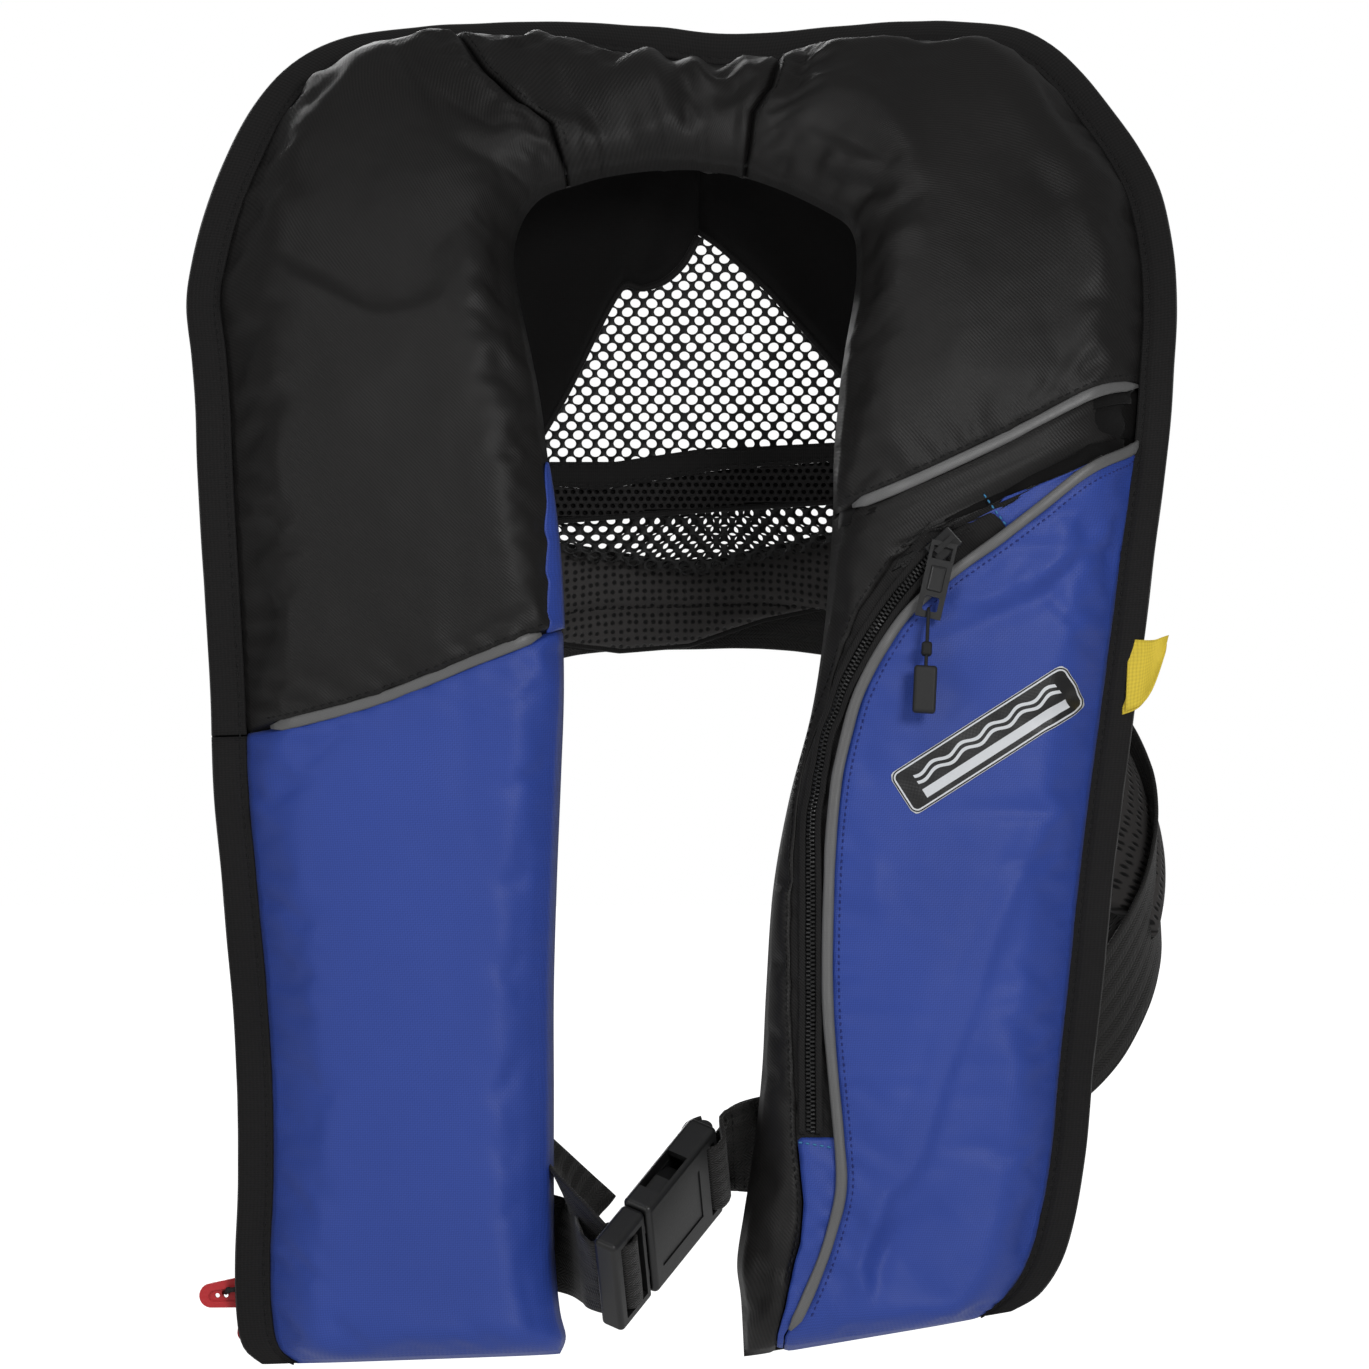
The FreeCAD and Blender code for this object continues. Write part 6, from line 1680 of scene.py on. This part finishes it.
# ---------------------------------------------------------------- packed gas cell
def cell_inset(at):
    """Outer side of the cell, kept clear of the right lower part of the casing."""
    z = edges(at)[..., 1]
    right = at < 20
    return np.select([right & (z < 206), right & (z < 322), right & (z < 345)],
                     [62.0, 66.0, 66.0 - (z - 322) / 23 * 48.0], 18.0)


def gas_cell():
    start = length_to(locate(-60, 52, 0, 6)[0])
    end = length_to(locate(60, 24, 44, float(LAST))[0])
    at = station_at(np.linspace(start, end, 420))[:, None]
    q = (1 - np.cos(np.pi * np.linspace(0, 1, 31)))[None, :] / 2
    outer, inner = cell_inset(at), width(at) - 7.5
    inset = outer + (inner - outer) * q
    pleat = (1.1 * np.abs(np.sin(q * math.pi * 4))
             + 0.7 * (1 + smooth_noise(length_to(at) / 9.0, inset / 7.0, 95)) + 0.5)
    clearance = 3.9 + np.interp(at, [14.0, 17.0], [0.0, 5.0])
    front = np.maximum(0.8, swell(at, inset, PUFF_FRONT) - clearance - pleat)
    back = np.maximum(0.8, swell(at, inset, PUFF_BACK) - 3.6)
    uv = np.stack(np.broadcast_arrays(length_to(at), inset), -1)
    attach(solid_grid("gas_cell_folded", casing_point(at, inset, front),
                      casing_point(at, inset, -back), CELL, uv), "gas_cell")


gas_cell()

# ---------------------------------------------------------------- parts kept from the record
FINISHES = [
    (ACETAL, ("buckle_female", "buckle_male", "buckle_prong_upper", "buckle_prong_lower",
              "inflator_body", "inflator_lever", "oral_valve_poppet")),
    (ENAMEL, ("zip_slider", "zip_puller")),
    (CORD, ("zip_cord", "zip_cord_knot", "whistle_cord", "pull_lanyard")),
    (PVC, ("zip_cord_grip",)),
    (STEEL, ("co2_cylinder", "lever_pin", "firing_pin")),
    (NICKEL, ("cap_nut",)),
    (GREEN, ("seal_indicator",)),
    (YELLOW_PLASTIC, ("cell_manifold", "whistle")),
    (RUBBER, ("oral_tube", "oral_valve_body", "cylinder_gasket")),
    (RED, ("oral_dust_cap", "pull_handle")),
]
EDGE_ROUNDING = {    # bevel widths
    "buckle_female": 0.7, "buckle_male": 0.7, "zip_slider": 0.3, "zip_puller": 0.3,
    "inflator_body": 0.5, "inflator_lever": 0.4, "pull_handle": 0.9, "zip_cord_grip": 0.4,
    "zip_cord_knot": 0.5, "whistle": 0.4, "buckle_prong_upper": 0.3, "buckle_prong_lower": 0.3}
for material, names in FINISHES:
    for name in names:
        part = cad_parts[name]
        part.data.materials.clear()
        part.data.materials.append(material)
        for polygon in part.data.polygons:
            polygon.material_index = 0
        if name in EDGE_ROUNDING:
            bevel = part.modifiers.new("soft_edges", "BEVEL")
            bevel.width = EDGE_ROUNDING[name] * MM
            bevel.segments = 3
            bevel.limit_method = "ANGLE"
            bevel.angle_limit = math.radians(35)
            bevel.harden_normals = False


def valve_spring():
    """Four turns of wire."""
    x, y, z, radius, height, wire, turns = -155.0, 4.0, 271.3, 4.2, 8.4, 0.84, 4
    angle = np.linspace(0, turns * 2 * math.pi, 161)
    outward = np.stack([np.cos(angle), np.sin(angle), 0 * angle], 1)
    helix = radius * outward + (x, y, z)
    helix[:, 2] += height * angle / angle[-1]
    obj = sweep("valve_spring_coil", helix, outward, oval(wire, wire, 8), STEEL)
    attach(obj, "oral_valve_spring")
    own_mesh(obj)


valve_spring()


# ---------------------------------------------------------------- studio
def paper_white():
    """Floor that glows to the camera only, over a faint glow for other rays."""
    m = Shader("paper_white")
    seen = m.node("ShaderNodeLightPath", output="Is Camera Ray")
    return m.finish(
        Base_Color=m.mix(m.noise(3.0), (0.86, 0.86, 0.86), (0.90, 0.90, 0.90)), Roughness=0.9,
        Specular_IOR_Level=0.1, Emission_Color=(1.0, 1.0, 1.0, 1.0),
        Emission_Strength=seen * 0.9 + 0.10)


FLOOR_Z, FLOOR_HALF = -260.0, 20000.0
floor_corners = [(x * FLOOR_HALF, y * FLOOR_HALF, FLOOR_Z)
                 for x, y in ((-1, -1), (1, -1), (1, 1), (-1, 1))]
new_mesh("floor_sweep", floor_corners, [(0, 1, 2, 3)], paper_white())

scene = bpy.context.scene
scene.view_settings.view_transform = "Standard"


def studio_world():
    """White to the camera, dimmer as a light."""
    world = bpy.data.worlds.new("studio")
    scene.world = world
    world.use_nodes = True
    tree = world.node_tree
    background = tree.nodes["Background"]
    background.inputs["Color"].default_value = (1.0, 1.0, 1.0, 1)
    light_path = tree.nodes.new("ShaderNodeLightPath")
    strength = tree.nodes.new("ShaderNodeMapRange")
    strength.inputs["To Min"].default_value = 0.20
    strength.inputs["To Max"].default_value = 1.0
    tree.links.new(light_path.outputs["Is Camera Ray"], strength.inputs[0])
    tree.links.new(strength.outputs[0], background.inputs["Strength"])


def disk_light(name, place, target, size, power):
    """Disk light; place, target and size in design metres, power in watts."""
    light = bpy.data.lights.new(name, "AREA")
    light.shape = "DISK"
    light.size = size
    light.energy = power
    obj = bpy.data.objects.new(name, light)
    scene.collection.objects.link(obj)
    obj.location = local(place)
    aim = mathutils.Vector((floats(target) - floats(place)).tolist())
    obj.rotation_euler = aim.to_track_quat("-Z", "Y").to_euler()


studio_world()
disk_light("key", place=(1.2, -2.7, 1.2), target=(0, 0, 0.25), size=0.9, power=32)
disk_light("fill", place=(-1.9, -2.4, 0.9), target=(0, 0, 0.27), size=1.4, power=12)
disk_light("top", place=(-0.3, -1.2, 2.1), target=(0, 0.02, 0.35), size=0.7, power=5.0)
disk_light("back", place=(-0.7, 2.8, 1.3), target=(0, 0, 0.27), size=1.4, power=30)

VIEW_WIDTH = 547.6    # width seen at the plane y = 0
lens = bpy.data.cameras.new("camera")
lens.sensor_width = 36.0
lens.lens = lens.sensor_width * -EYE_Y / VIEW_WIDTH
lens.clip_end = 50.0
camera = bpy.data.objects.new("camera", lens)
scene.collection.objects.link(camera)
camera.location = local((0.0, EYE_Y * MM, EYE_Z * MM))
camera.rotation_euler = (math.pi / 2, 0.0, 0.0)
scene.camera = camera
